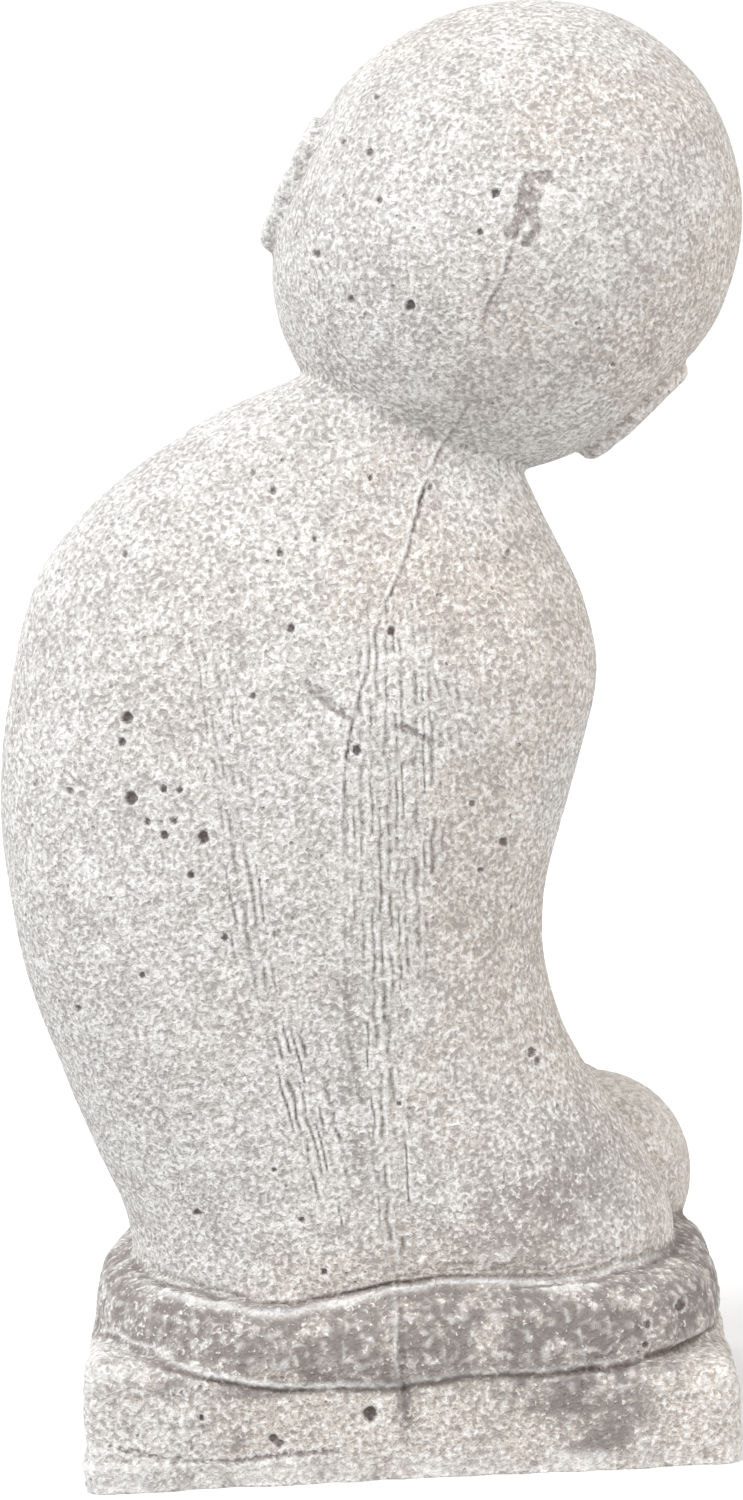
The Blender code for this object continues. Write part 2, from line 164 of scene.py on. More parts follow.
# Knees, shins, lap, arms and sleeves, as balls: x, y, z, radius
KNEES = ((50.5, -36.0, 7.0, 28.0), (-56.6, -35.0, 10.2, 29.5))
SHIN_END = (12.0, -50.0, 0.0, 15.0)
LAP = ((42.0, -30.0, 12.0, 20.0), (-46.0, -30.0, 12.0, 20.0), (0.0, -28.0, 36.0, 20.0))
LEFT_ARM = ((74.0, -6.0, 174.0, 25.0), (76.0, -22.0, 112.0, 24.0), (17.0, -55.0, 144.0, 14.0))
LEFT_SLEEVE = ((27.0, -50.0, 74.0, 12.0), (72.0, -24.0, 74.0, 15.0), (52.0, -44.0, 64.0, 13.0))
RIGHT_ARM = ((-40.0, -10.0, 172.0, 20.0), (-26.0, -24.0, 118.0, 19.0), (-9.0, -55.0, 144.0, 14.0))
RIGHT_SLEEVE = ((-15.0, -50.0, 74.0, 12.0), (-27.0, -24.0, 80.0, 14.0), (-24.0, -42.0, 68.0, 11.0))
CUFF_ROUNDING = 3.2

# Rolled edges and folds of the robe, as seen from the front: x, z
COLLARS = (
    ((2.0, 252.0), (15.0, 232.0), (17.0, 206.0), (8.0, 176.0), (-8.0, 150.0)),
    ((-42.0, 226.0), (-33.0, 208.0), (-18.0, 188.0), (2.0, 164.0)),
)
COLLAR_ROUNDING = 3.4
FOLDS = (
    ((36.0, 130.0), (42.0, 104.0), (44.0, 74.0)),
    ((56.0, 128.0), (62.0, 102.0), (62.0, 74.0)),
    ((82.0, 144.0), (73.0, 129.0), (56.0, 122.0)),
    ((-22.0, 128.0), (-27.0, 104.0), (-27.0, 76.0)),
    ((-40.0, 142.0), (-34.0, 127.0), (-22.0, 120.0)),
    ((8.0, 58.0), (30.0, 46.0), (52.0, 32.0)),
    ((-8.0, 58.0), (-32.0, 46.0), (-56.0, 34.0)),
    ((10.0, 30.0), (30.0, 20.0), (52.0, 4.0)),
    ((-14.0, 28.0), (-34.0, 20.0), (-58.0, 4.0)),
)
FOLD_ROUNDING = 6.0
FOLD_SMOOTHING = 9

# How finely the statue is cast.
VOXEL = 0.0011
FINE_EDGE = 0.0008
TRIANGLES = 192000
# How far the soft masses are smoothed, and then everything together
SOFTENING_FLESH = 0.0064
SOFTENING_TRIM = 0.0012

# What the material reads to paint highlights on ridges and shade in hollows and closed places: the height at
# which a ridge counts as full, and how the shelter of a point is measured, by rays this many and this long
RELIEF_RANGE = 0.00035
SHELTER_RAYS = 16
SHELTER_REACH = 0.02
SHELTER_START = 0.0006

# Darker tones of the concrete: patches, gaps between the raised grain, and sand
PATCH_TONE = (0.36, 0.33, 0.32, 1.0)
GAP_TONE = (0.27, 0.245, 0.245, 1.0)
SAND_TONE = (0.28, 0.25, 0.24, 1.0)

# The stage: floor, where the lamps aim, and a camera whose focal length is given in pixels of the photo
FLOOR_RADIUS = 150.0
SKY_COLOUR = (0.985, 0.99, 1.0, 1.0)
BACKDROP_COLOUR = (1.0, 1.0, 0.995, 1.0)
LAMP_AIM = Vector((0.0, 0.0, 0.2))
KEY_PLACE = (1.6, 1.0, 1.9)
KEY_WIDTH = math.radians(35)
FILL_PLACE = (-1.5, 1.0, 0.8)
FRONT_PLACE = (0.6, -1.6, 1.3)
PANEL_SIZE = 1.4
SENSOR_HEIGHT = 24.0
PHOTO_HEIGHT = 1500.0
FOCAL_PIXELS = 5379.67
CAMERA_AIM = Vector((0.00252, 0.0, 0.193085))

# Where the marks are laid from, in metres: x, z
MARKS_SHIFT = (0.0014, 0.0007)
# The mould's seam up the back, in millimetres: x, z, strength
SEAM = (
    (1.8, -1.0, 0.0), (1.3, 8.0, 0.0), (0.8, 17.5, 0.35), (0.8, 26.0, 0.6), (1.4, 35.8, 0.8),
    (0.8, 48.0, 0.4), (2.2, 62.0, 0.35), (6.3, 90.5, 0.4), (10.5, 116.0, 0.45), (11.6, 133.0, 0.4),
    (10.3, 161.0, 0.4), (9.5, 180.0, 0.6), (8.7, 192.0, 1.1), (6.6, 206.0, 1.3), (2.8, 218.0, 0.8),
    (-2.9, 235.6, 0.7), (-10.6, 250.7, 1.2), (-17.3, 270.0, 1.3), (-26.0, 285.0, 0.5),
    (-30.4, 292.9, 0.2), (-33.1, 309.9, 0.25), (-36.1, 319.2, 0.6), (-38.7, 323.7, 0.8),
    (-41.4, 329.0, 0.9), (-45.4, 340.8, 0.6), (-47.0, 343.0, 0.0), (-52.0, 356.0, 0.0),
)
# Air holes of the cast seen from behind, in millimetres: x, z, radius
PORES = (
    (-6.2, 361.2, 1.3), (-8.2, 348.7, 1.1), (-39.4, 349.3, 1.5), (-34.8, 339.2, 1.1), (9.4, 334.0, 1.4),
    (0.7, 321.8, 1.1), (-15.2, 319.8, 1.6), (-69.8, 300.4, 0.8), (-9.1, 375.6, 0.9), (0.5, 364.1, 1.0),
    (29.8, 275.6, 0.9), (24.5, 270.8, 1.2), (-2.1, 272.8, 1.0), (-18.5, 269.1, 0.9), (23.3, 254.5, 1.1),
    (13.9, 257.6, 0.9), (65.9, 255.3, 0.9), (-39.0, 250.2, 0.9), (21.3, 234.8, 1.3), (-5.8, 232.5, 1.4),
    (67.1, 212.2, 1.9), (68.8, 205.8, 1.3), (67.1, 190.7, 2.1), (57.9, 193.0, 1.2), (63.0, 184.1, 1.1),
    (55.6, 184.3, 1.0), (53.5, 192.7, 1.0), (58.5, 180.5, 1.3), (47.9, 179.5, 2.0), (51.7, 169.4, 1.2),
    (5.0, 201.3, 1.6), (-25.6, 183.9, 1.0), (84.0, 192.2, 1.1), (-33.7, 171.9, 1.4), (32.4, 217.3, 1.0),
    (43.4, 151.8, 1.2), (85.4, 131.1, 1.1), (-39.2, 111.7, 1.5), (-40.5, 109.0, 1.1), (33.4, 85.9, 0.9),
    (55.6, 72.5, 1.3), (26.5, 71.4, 1.0), (21.2, 56.4, 1.1), (66.7, 141.8, 0.9), (10.4, 18.1, 2.4),
    (37.2, 12.6, 1.6), (35.4, 11.2, 1.4), (56.8, 19.6, 1.0), (-76.9, 40.3, 1.6), (-67.1, 37.7, 1.2),
    (-66.2, 32.1, 1.0), (-1.7, 102.9, 0.8), (-27.0, 165.0, 0.8),
)
# Bands of trowel strokes down the back, in millimetres: middle x and z, half-width, half-height, then
# their lean and strength
STROKES = (
    (41.5, 205.0, 7.0, 26.0, -0.11, 0.7), (36.0, 154.0, 6.5, 22.0, -0.11, 1.0),
    (-4.0, 184.0, 13.5, 54.0, 0.03, 1.0), (22.0, 98.0, 7.5, 27.0, -0.20, 1.3),
    (1.5, 97.0, 6.0, 36.0, -0.02, 1.1), (-18.0, 222.0, 6.0, 22.0, -0.18, 0.6),
)
STROKE_STEP = 2.4
# Scars where the cast tore, in millimetres: points (x, z), half-width, depth, how dirty
SCARS = (
    (((17.4, 220.2), (13.8, 216.3), (10.1, 212.9), (7.3, 210.2)), 1.4, 0.45, 0.55),
    (((-5.9, 207.7), (-9.1, 205.8), (-12.3, 204.0), (-17.0, 201.1)), 0.9, 0.50, 0.70),
    (((-53.2, 353.0), (-49.0, 352.4), (-46.6, 347.5), (-46.0, 342.5), (-43.4, 338.6)), 1.7, 0.50, 0.60),
    (((-50.4, 348.2), (-49.2, 343.6), (-49.8, 339.8), (-47.0, 335.6)), 1.5, 0.45, 0.55),
    (((-55.4, 351.7), (-57.4, 350.0), (-60.1, 348.6), (-62.2, 347.1)), 0.6, 0.30, 0.30),
    (((82.2, 12.7), (77.3, 11.4), (65.3, 8.2), (48.1, 6.9), (34.0, 8.1), (19.7, 8.2)), 0.6, 0.50, 0.50),
)
# The edge of the robe on the cushion behind, in millimetres: x, z
HEM = (
    (-62.0, 50.2), (-53.9, 49.2), (-43.3, 49.2), (-26.0, 51.1), (-12.8, 52.0), (2.4, 50.7), (17.7, 47.9),
    (29.9, 46.3), (38.2, 46.5), (48.4, 48.2), (58.6, 49.7), (65.7, 50.9), (73.5, 51.7),
)
# The crease between cushion and plinth behind, in millimetres: x, z, strength
CREASE = (
    (-82.0, 29.6, 0.7), (-72.9, 28.6, 0.9), (-64.5, 28.3, 1.1), (-57.1, 27.3, 1.2), (-42.2, 26.9, 1.2),
    (-31.8, 26.9, 0.7), (-17.5, 27.4, 0.6), (-6.5, 26.1, 0.4), (2.7, 24.7, 0.5), (18.3, 25.3, 0.5),
    (33.1, 25.6, 0.9), (42.9, 27.3, 1.1), (52.1, 29.4, 0.9), (59.2, 31.3, 0.5), (69.4, 35.1, 0.35),
    (81.0, 37.0, 0.3),
)
# How far that crease lies above the cushion's underside in front, in metres
CREASE_LIFT = 0.0006
# Damp stains behind, in millimetres: x, z, half-width, half-height, strength
STAINS = (
    (-44.6, 18.5, 13.0, 5.0, 1.0), (-30.0, 22.5, 5.0, 3.0, 0.8), (-55.2, 9.4, 8.0, 4.0, 0.9),
    (-49.5, 5.8, 8.0, 2.5, 0.8), (-63.0, 17.0, 7.0, 6.0, 0.5), (65.4, 28.7, 4.0, 3.0, 0.5),
    (56.9, 17.9, 3.0, 2.5, 0.7), (46.9, 13.2, 3.5, 3.0, 0.6), (63.6, 48.6, 4.0, 2.0, 0.9),
    (52.3, 44.1, 5.0, 3.0, 0.8), (48.6, 40.6, 4.5, 3.0, 0.9), (29.3, 41.1, 4.0, 4.0, 0.9),
    (6.2, 36.7, 3.5, 2.5, 1.0), (-8.8, 48.0, 6.0, 2.5, 0.8), (-32.8, 46.3, 11.0, 2.5, 0.9),
    (-12.0, 38.8, 4.0, 3.0, 0.6), (-27.4, 40.9, 7.0, 3.0, 0.7), (-53.9, 40.9, 9.0, 5.0, 0.6),
    (-44.0, 24.8, 14.0, 2.2, 0.9), (-66.0, 26.0, 11.0, 2.6, 1.0), (44.0, 25.8, 10.0, 2.0, 0.9),
    (10.9, 107.6, 3.0, 13.0, 0.5), (10.1, 88.0, 3.5, 10.0, 0.45), (10.4, 132.0, 3.0, 13.0, 0.45),
    (-46.0, 77.0, 22.0, 15.0, 0.50), (-30.0, 66.0, 26.0, 8.0, 0.35), (1.2, 30.6, 1.8, 6.0, 1.2),
    (0.8, 18.0, 2.4, 7.0, 0.9),
)
# The sill that bulges at the plinth's lower left corner: its top and inner end, and how far it stands out
SILL = (0.0085, 0.066, 0.0012)


# What the properties of one kind share
DEPTH = {"min": 0.0, "unit": "LENGTH"}
COLOUR = {"subtype": "COLOR", "size": 4, "min": 0.0, "max": 1.0}


class StatueSizes(bpy.types.PropertyGroup):
    """How deep the marks of casting and weather go."""

    unevenness: FloatProperty(
        name="Unevenness", description="Height of the broad swells of the cast", default=0.00035, **DEPTH
    )
    grain: FloatProperty(
        name="Grain", description="Height of the wrinkled skin of the cast", default=0.00012, **DEPTH
    )
    seam_depth: FloatProperty(
        name="Seam depth", description="Depth of the mould's seam up the back", default=0.00042, **DEPTH
    )
    seam_width: FloatProperty(
        name="Seam width", description="Half the width of the seam", default=0.0006, min=0.0002, unit="LENGTH"
    )
    stroke_depth: FloatProperty(
        name="Stroke depth", description="Depth of the trowel strokes", default=0.00036, **DEPTH
    )
    edge_wear: FloatProperty(
        name="Edge wear", description="How far the plinth's lower edge has crumbled", default=0.0014, **DEPTH
    )


class ConcreteColours(bpy.types.PropertyGroup):
    """The colours of the dry concrete, and of the shade and highlights painted on it."""

    pale: FloatVectorProperty(
        name="Pale", description="Main colour of the cast", default=(0.638, 0.620, 0.594, 1.0), **COLOUR
    )
    # Warmer colour of broad clouds, also painted as shade on the side away from the key light and low down
    cloud_and_side_shade_beige: FloatVectorProperty(
        name="Beige", description="Colour of the warmer clouds", default=(0.655, 0.595, 0.53, 1.0), **COLOUR
    )
    # Also the colour of the painted highlights on ridges, lips and stroke crests
    bloom_and_highlight: FloatVectorProperty(
        name="Lime", description="Lime-white bloom on the raised grain",
        default=(0.93, 0.925, 0.915, 1.0), **COLOUR
    )
    cushion: FloatVectorProperty(
        name="Cushion", description="Mauve grey of the cushion, damp more often",
        default=(0.25, 0.218, 0.200, 1.0), **COLOUR
    )
    hole: FloatVectorProperty(
        name="Hole", description="Inside of the air holes", default=(0.25, 0.212, 0.212, 1.0), **COLOUR
    )
    # Also the colour of the painted shade in creases, hollows and closed places
    grime_and_shade: FloatVectorProperty(
        name="Grime", description="Dirt in seams, scars and creases",
        default=(0.11, 0.085, 0.075, 1.0), **COLOUR
    )


class StageSettings(bpy.types.PropertyGroup):
    """The floor, lights and camera."""

    floor: FloatVectorProperty(
        name="Floor", description="Colour of the floor", default=(0.93, 0.93, 0.925, 1.0), **COLOUR
    )
    backdrop: FloatProperty(
        name="Backdrop", description="Brightness of the empty background", default=1.0, min=0.0
    )
    sky: FloatProperty(
        name="Sky", description="Strength of the light from all round", default=0.74, min=0.0
    )
    key_power: FloatProperty(
        name="Key light", description="Strength of the broad main light", default=2.0, min=0.0
    )
    fill_power: FloatProperty(
        name="Fill light", description="Power of the second lamp, in watts", default=13.5, min=0.0
    )
    camera_distance: FloatProperty(
        name="Camera distance", description="From the statue's axis", default=1.5, min=0.3, unit="LENGTH"
    )
    camera_height: FloatProperty(
        name="Camera height", description="Above the floor", default=0.4207, unit="LENGTH"
    )
    camera_roll: FloatProperty(
        name="Camera roll", description="Turn about the line of sight",
        default=math.radians(2.8), subtype="ANGLE"
    )


def on_board(x, y, z):
    """A point of the figure's board, in metres."""
    return Vector((FIGURE_SHIFT + x * UNIT, y * UNIT, SEAT_Z + z * UNIT))


def through(points, steps):
    """A smooth line through the points (Catmull-Rom), with this many steps from each to the next."""
    p = np.array(points, float)
    p = np.vstack([2 * p[0] - p[1], p, 2 * p[-1] - p[-2]])
    line = []
    for a, b, c, d in zip(p[:-3], p[1:-2], p[2:-1], p[3:]):
        for t in np.arange(steps) / steps:
            bend = (2 * a - 5 * b + 4 * c - d) * t * t + (3 * b - a - 3 * c + d) * t**3
            line.append(b + 0.5 * ((c - a) * t + bend))
    line.append(p[-2])
    return np.array(line)


def superellipse(angle, half_width, half_depth, squareness):
    """A point of a squarish oval."""
    c, s = math.cos(angle), math.sin(angle)
    return (
        half_width * math.copysign(abs(c) ** (2 / squareness), c),
        half_depth * math.copysign(abs(s) ** (2 / squareness), s),
    )


def merge(bm, own):
    """Adds the mesh own to bm and frees own."""
    mesh = bpy.data.meshes.new("piece")
    own.to_mesh(mesh)
    own.free()
    bm.from_mesh(mesh)
    bpy.data.meshes.remove(mesh)


def ball(bm, centre, radii, fineness):
    """A ball or an egg that stands upright: centre and radii in metres."""
    place = Matrix.Translation(centre) @ Matrix.Diagonal((*radii, 1.0))
    bmesh.ops.create_icosphere(bm, subdivisions=fineness, radius=1.0, matrix=place)


def hull(bm, balls):
    """The skin stretched over several balls, each (x, y, z, radius) on the board."""
    own = bmesh.new()
    for x, y, z, radius in balls:
        place = Matrix.Translation(on_board(x, y, z))
        bmesh.ops.create_icosphere(own, subdivisions=4, radius=radius * UNIT, matrix=place)
    bmesh.ops.delete(own, geom=own.edges[:], context="EDGES_FACES")
    made = bmesh.ops.convex_hull(own, input=own.verts[:])
    inside = [e for e in made["geom_interior"] if isinstance(e, bmesh.types.BMVert)]
    bmesh.ops.delete(own, geom=inside, context="VERTS")
    merge(bm, own)


def tube(bm, points, radius):
    """A round bar along a smooth line of board points, made of overlapping balls."""
    line = through(points, 6)
    length = np.concatenate(([0.0], np.cumsum(np.linalg.norm(np.diff(line, axis=0), axis=1))))
    own = bmesh.new()
    for stop in np.linspace(0.0, length[-1], max(2, int(length[-1] / (0.25 * radius)))):
        x, y, z = (np.interp(stop, length, line[:, k]) for k in range(3))
        ball(own, on_board(x, y, z), [radius * UNIT] * 3, 3)
    merge(bm, own)


def loft(bm, rings):
    """A skin over closed rings of points, with both ends capped."""
    own = bmesh.new()
    loops = []
    for ring in rings:
        circle = bmesh.ops.create_circle(own, segments=len(ring), radius=1.0)["verts"]
        for vert, point in zip(circle, ring):
            vert.co = point
        loops.append(list({e for v in circle for e in v.link_edges}))
    for lower, upper in zip(loops, loops[1:]):
        bmesh.ops.bridge_loops(own, edges=lower + upper)
    bmesh.ops.holes_fill(own, edges=loops[0] + loops[-1], sides=0)
    merge(bm, own)


def add_body(bm):
    """The robed trunk and upper arms, from the seat to the neck."""
    rows = [(*left, *right, back, front) for left, right, back, front in BODY_SECTIONS]
    rings = []
    for lx, lz, rx, rz, back, front in through(rows, RINGS_PER_SECTION):
        centre = Vector(((lx + rx) / 2, (back + front) / 2, (lz + rz) / 2))
        across = Vector(((lx - rx) / 2, 0.0, (lz - rz) / 2))
        ring = []
        for k in range(RING_POINTS):
            a, b = superellipse(
                2 * math.pi * k / RING_POINTS, 1.0, (back - front) / 2, BODY_SQUARENESS
            )
            ring.append(on_board(*(centre + across * a + Vector((0.0, b, 0.0)))))
        rings.append(ring)
    loft(bm, rings)


def head_frame():
    """The head's own frame, in board units: x to its left, -y forwards, z to the crown."""
    lean = Matrix.Rotation(-HEAD_LEAN, 4, "Y")
    nod = Matrix.Rotation(HEAD_NOD, 4, "X")
    return Matrix.Translation(HEAD_CENTRE) @ lean @ nod


def face_height(x, z):
    """How far the face stands out from the egg at (x, z) of the head's frame, in board units."""
    height = np.zeros_like(x)
    z = z + BROW_ARCH * x * x * np.clip((z + 30.0) / 14.0, 0.0, 1.0)
    for fx, fz, wide, high, out in FACE:
        for side in (1, -1) if fx else (1,):
            height += out * np.exp(-(((x - fx * side) / wide) ** 2 + ((z - fz) / high) ** 2) / 2)
    return height


def face_cuts(p):
    """How deep the fine lines of the face are cut, in metres."""
    turned = np.array(head_frame().inverted())
    x, y, z = turned[:3, :3] @ ((p - np.array(on_board(0, 0, 0))) / UNIT).T + turned[:3, 3:]
    cut = np.zeros(len(p))
    for fx, fz, half, rise, wide, deep in FACE_LINES:
        for side in (1, -1) if fx else (1,):
            along = x - fx * side
            off = z - fz - rise * along * along
            ends = np.clip((half - np.abs(along)) / 3.0, 0.0, 1.0)
            cut += deep * ends * np.exp(-((off / wide) ** 2))
    nx, nz, wide, high, deep = NOSTRILS
    cut += deep * np.exp(-(((np.abs(x) - nx) / wide) ** 2) - ((z - nz) / high) ** 2)
    return cut * UNIT * ease(-38.0, -44.0, y) * (z > -60.0)


def ear_hollow(y, z):
    """How far the side of the skull is set in round the ear, at (y, z) of the head's frame."""
    middle_y, middle_z, wide, high, deep = EAR_HOLLOW
    return deep * np.exp(-(((y - middle_y) / wide) ** 2) - ((z - middle_z) / high) ** 2)


def add_head(bm):
    """The skull with the face carved on its front, and the ears."""
    frame_of_head = head_frame()
    egg_turn = Matrix.Rotation(-HEAD_EGG_LEAN, 4, "Y")
    place = Matrix.Translation(HEAD_CENTRE) @ egg_turn @ Matrix.Diagonal((*HEAD_RADII, 1.0))
    egg = frame_of_head.inverted() @ place
    own = bmesh.new()
    bmesh.ops.create_icosphere(own, subdivisions=FACE_DETAIL, radius=1.0, matrix=egg)
    mesh = bpy.data.meshes.new("head")
    own.to_mesh(mesh)
    own.free()
    p = np.empty(len(mesh.vertices) * 3)
    mesh.vertices.foreach_get("co", p)
    p = p.reshape(-1, 3)
    out = p / np.linalg.norm(p, axis=1)[:, None]
    front = np.clip(-out[:, 1] * 2.2 - 0.35, 0, 1)
    carving = face_height(p[:, 0], p[:, 2]) * front * front * (3 - 2 * front)
    carving -= ear_hollow(p[:, 1], p[:, 2])
    p += out * carving[:, None]
    p = p @ np.array(frame_of_head.to_3x3()).T + np.array(HEAD_CENTRE)
    p = p * UNIT + np.array(on_board(0, 0, 0))
    mesh.vertices.foreach_set("co", p.ravel())
    bm.from_mesh(mesh)
    bpy.data.meshes.remove(mesh)

    def on_side(side, y, z, out):
        point = Vector((side * math.sqrt(HEAD_RADII[0] ** 2 - y * y - z * z), y, z)).normalized()
        skull = 1.0 / (egg.inverted().to_3x3() @ point).length
        return frame_of_head @ (point * (skull - float(ear_hollow(y, z)) + out))

    for side in (1, -1):
        tube(bm, [on_side(side, y, z, out - EAR_ROUNDING) for y, z, out in EAR_RIM], EAR_ROUNDING)
        hull(bm, [(*on_side(side, y, z, 1.4 - radius), radius) for y, z, radius in EAR_PLATE])
        hull(bm, [(*on_side(side, y, z, 4.4 - radius), radius) for y, z, radius in EAR_LOBE])


def add_legs(bm):
    """The folded legs under the robe: a knee at each front corner, shins that cross, and the lap."""
    for knee in KNEES:
        side = math.copysign(1, knee[0])
        x, y, z, radius = SHIN_END
        hull(bm, [knee, (-x * side, y, z, radius)])
    hull(bm, LAP)


def add_sleeves(bm):
    """The arms in wide sleeves that hang into the lap."""
    for arm, sleeve in ((LEFT_ARM, LEFT_SLEEVE), (RIGHT_ARM, RIGHT_SLEEVE)):
        shoulder, elbow, wrist = arm
        front, back, under = sleeve
        hull(bm, [shoulder, elbow])
        hull(bm, [elbow, wrist, front, under])
        hull(bm, [elbow, back, under])


def add_cuffs(bm):
    """The rolled edge of each sleeve, from the wrist down the front."""
    for arm, sleeve in ((LEFT_ARM, LEFT_SLEEVE), (RIGHT_ARM, RIGHT_SLEEVE)):
        x, y, z, radius = arm[2]
        low_x, low_y, low_z, low = sleeve[0]
        cuff = (
            (x, y + radius, z + radius * 0.6),
            (x, y - radius * 0.65, z + radius * 0.65),
            (x, y - radius * 0.9, z - radius * 0.8),
            (low_x, low_y - low * 0.9, low_z + low),
            (low_x, low_y - low * 0.6, low_z - low * 0.6),
            (low_x, low_y + low, low_z - low * 0.8),
        )
        tube(bm, cuff, CUFF_ROUNDING)


def add_trim(bm, tree):
    """The rolled edges and folds of the robe, laid on the front of the soft masses in the tree."""
    for paths, radius, sink in ((COLLARS, COLLAR_ROUNDING, 0.1), (FOLDS, FOLD_ROUNDING, 0.7)):
        for path in paths:
            line = through(path, 10)
            hits = [tree.ray_cast(on_board(x, -200, z), Vector((0, 1, 0)))[0].y for x, z in line]
            hits = np.pad(np.array(hits) / UNIT, FOLD_SMOOTHING // 2, mode="edge")
            depth = np.convolve(hits, np.ones(FOLD_SMOOTHING) / FOLD_SMOOTHING, mode="valid")
            tube(bm, [(x, y + radius * sink, z) for (x, z), y in zip(line, depth)], radius)


def add_hands(bm):
    """The two hands, pressed together under the chin."""
    for side in (1, -1):
        palm = [(4 + 4.4 * side, -58, 148, 7.5), (3 + 4.0 * side, -52, 170, 4.6)]
        fingers = [(3 + 4.0 * side, -68, 168, 4.6), (-2 + 3.0 * side, -59, 199, 3.0)]
        hull(bm, palm + fingers + [(-1 + 3.0 * side, -67, 196, 3.2)])
        hull(bm, [(3 + 5.0 * side, -52, 158, 4.0), (1 + 3.4 * side, -49, 178, 3.0)])


def add_cushion(bm):
    """The thick oval cushion, whose top slopes across and which bulges a little over the plinth's edge."""
    rings = []
    for share, inset in CUSHION_PROFILE:
        ring = []
        height = SEAT_Z - CUSHION_THICKNESS * (1 - share)
        for j in range(RING_POINTS):
            x, y = superellipse(
                2 * math.pi * j / RING_POINTS,
                CUSHION_HALF_WIDTH - inset,
                CUSHION_HALF_DEPTH - inset,
                CUSHION_SQUARENESS,
            )
            sag = CUSHION_SAG * math.exp(-(((x - CUSHION_SAG_X) / CUSHION_SAG_WIDTH) ** 2))
            behind = max(0.0, y / CUSHION_HALF_DEPTH)
            lift = share * x * math.tan(CUSHION_SLOPE) - sag * share**2 * behind
            ring.append(Vector((x, y, height + lift)))
        rings.append(ring)
    loft(bm, rings)


def add_plinth(bm):
    """The block under the cushion. Its top slopes across and its sides narrow upwards."""
    own = bmesh.new()
    size = (2 * PLINTH_HALF_WIDTH, 2 * PLINTH_HALF_DEPTH, PLINTH_HEIGHT + FLOOR_CUT)
    place = Matrix.Translation((0, 0, (PLINTH_HEIGHT - FLOOR_CUT) / 2)) @ Matrix.Diagonal((*size, 1))
    verts = bmesh.ops.create_cube(own, size=1.0, matrix=place)["verts"]
    top = [v for v in verts if v.co.z > 0]
    for v in top:
        v.co.x -= math.copysign(PLINTH_DRAFT, v.co.x)
        v.co.y -= math.copysign(PLINTH_DRAFT, v.co.y)
        v.co.z += v.co.x * math.tan(PLINTH_SLOPE)
    edges = {e for v in top for e in v.link_edges}
    bmesh.ops.bevel(
        own, geom=list(edges), offset=PLINTH_EDGE, segments=5, profile=0.5, affect="EDGES", material=-1
    )
    merge(bm, own)


def evaluated_copy(mesh, modifiers):
    """A mesh after these modifiers, each a type with its settings."""
    working = bpy.data.objects.new("working", mesh)
    bpy.context.scene.collection.objects.link(working)
    for kind, settings in modifiers:
        modifier = working.modifiers.new(kind.lower(), kind)
        for key, value in settings.items():
            setattr(modifier, key, value)
    graph = bpy.context.evaluated_depsgraph_get()
    result = bpy.data.meshes.new_from_object(working.evaluated_get(graph))
    bpy.data.objects.remove(working)
    return result


def fused(bm, spread):
    """The masses in bm joined into one skin, and smoothed over about this distance."""
    bmesh.ops.recalc_face_normals(bm, faces=bm.faces)
    mesh = bpy.data.meshes.new("masses")
    bm.to_mesh(mesh)
    bm.free()
    passes = max(1, round((spread / VOXEL) ** 2))
    fuse = ("REMESH", {"mode": "VOXEL", "voxel_size": VOXEL})
    soften = ("SMOOTH", {"factor": 0.5, "iterations": passes})
    return evaluated_copy(mesh, (fuse, soften))


def whole_figure():
    """The soft masses first, well smoothed, then everything crisper laid over them."""
    soft = bmesh.new()
    for add in (add_body, add_legs, add_sleeves):
        add(soft)
    flesh = fused(soft, SOFTENING_FLESH)
    bm = bmesh.new()
    bm.from_mesh(flesh)
    tree = BVHTree.FromBMesh(bm)
    bm.free()
    bm = bmesh.new()
    add_trim(bm, tree)
    for add in (add_cuffs, add_head, add_hands, add_cushion, add_plinth):
        add(bm)
    bm.from_mesh(flesh)
    return fused(bm, SOFTENING_TRIM)


def positions(mesh):
    """The mesh's vertices as rows of x, y, z."""
    p = np.empty(len(mesh.vertices) * 3)
    mesh.vertices.foreach_get("co", p)
    return p.reshape(-1, 3)


def normals(mesh):
    """The mesh's vertex normals as rows."""
    n = np.empty(len(mesh.vertices) * 3)
    mesh.vertex_normals.foreach_get("vector", n)
    return n.reshape(-1, 3)


def lattice(cell, seed):
    """Three repeatable numbers from -1 to 1 for each lattice cell."""
    h = cell[:, 0] * 73856093 ^ cell[:, 1] * 19349663 ^ cell[:, 2] * 83492791 ^ seed * 40503
    h = (h * 1274126177 + 12345) & 0xFFFFFFFF
    h = ((h ^ (h >> 15)) * 2246822519) & 0xFFFFFFFF
    h = h ^ (h >> 13)
    return np.stack([(h >> shift & 0x3FF) / 511.5 - 1.0 for shift in (0, 10, 20)], axis=1)


def noise(p, seed):
    """Smooth gradient noise of points in cells one unit wide, about -0.6 to 0.6."""
    cell = np.floor(p).astype(np.int64)
    f = p - cell
    fade = f * f * f * (f * (f * 6 - 15) + 10)
    total = np.zeros(len(p))
    for corner in itertools.product((0, 1), repeat=3):
        slope = lattice(cell + corner, seed)
        weight = np.prod(np.where(corner, fade, 1 - fade), axis=1)
        total += weight * np.sum(slope * (f - corner), axis=1)
    return total


def cloudy(p, size, seed, layers=3):
    """Noise in several layers, the broadest this many metres wide."""
    return sum(noise(p / size * 2**k, seed + k) / 2**k for k in range(layers))


def ease(low, high, value):
    """0 below low, 1 above high, and a smooth rise between."""
    t = np.clip((value - low) / (high - low), 0.0, 1.0)
    return t * t * (3 - 2 * t)


def to_line(x, z, points):
    """Distance in the x, z plane from each point to a line through the given points, in millimetres."""
    line = through(points, 8)
    best = np.full(len(x), 1e9)
    for (ax, az), (bx, bz) in zip(line, line[1:]):
        dx, dz = bx - ax, bz - az
        t = np.clip(((x - ax) * dx + (z - az) * dz) / (dx * dx + dz * dz), 0.0, 1.0)
        best = np.minimum(best, np.hypot(x - ax - t * dx, z - az - t * dz))
    return best


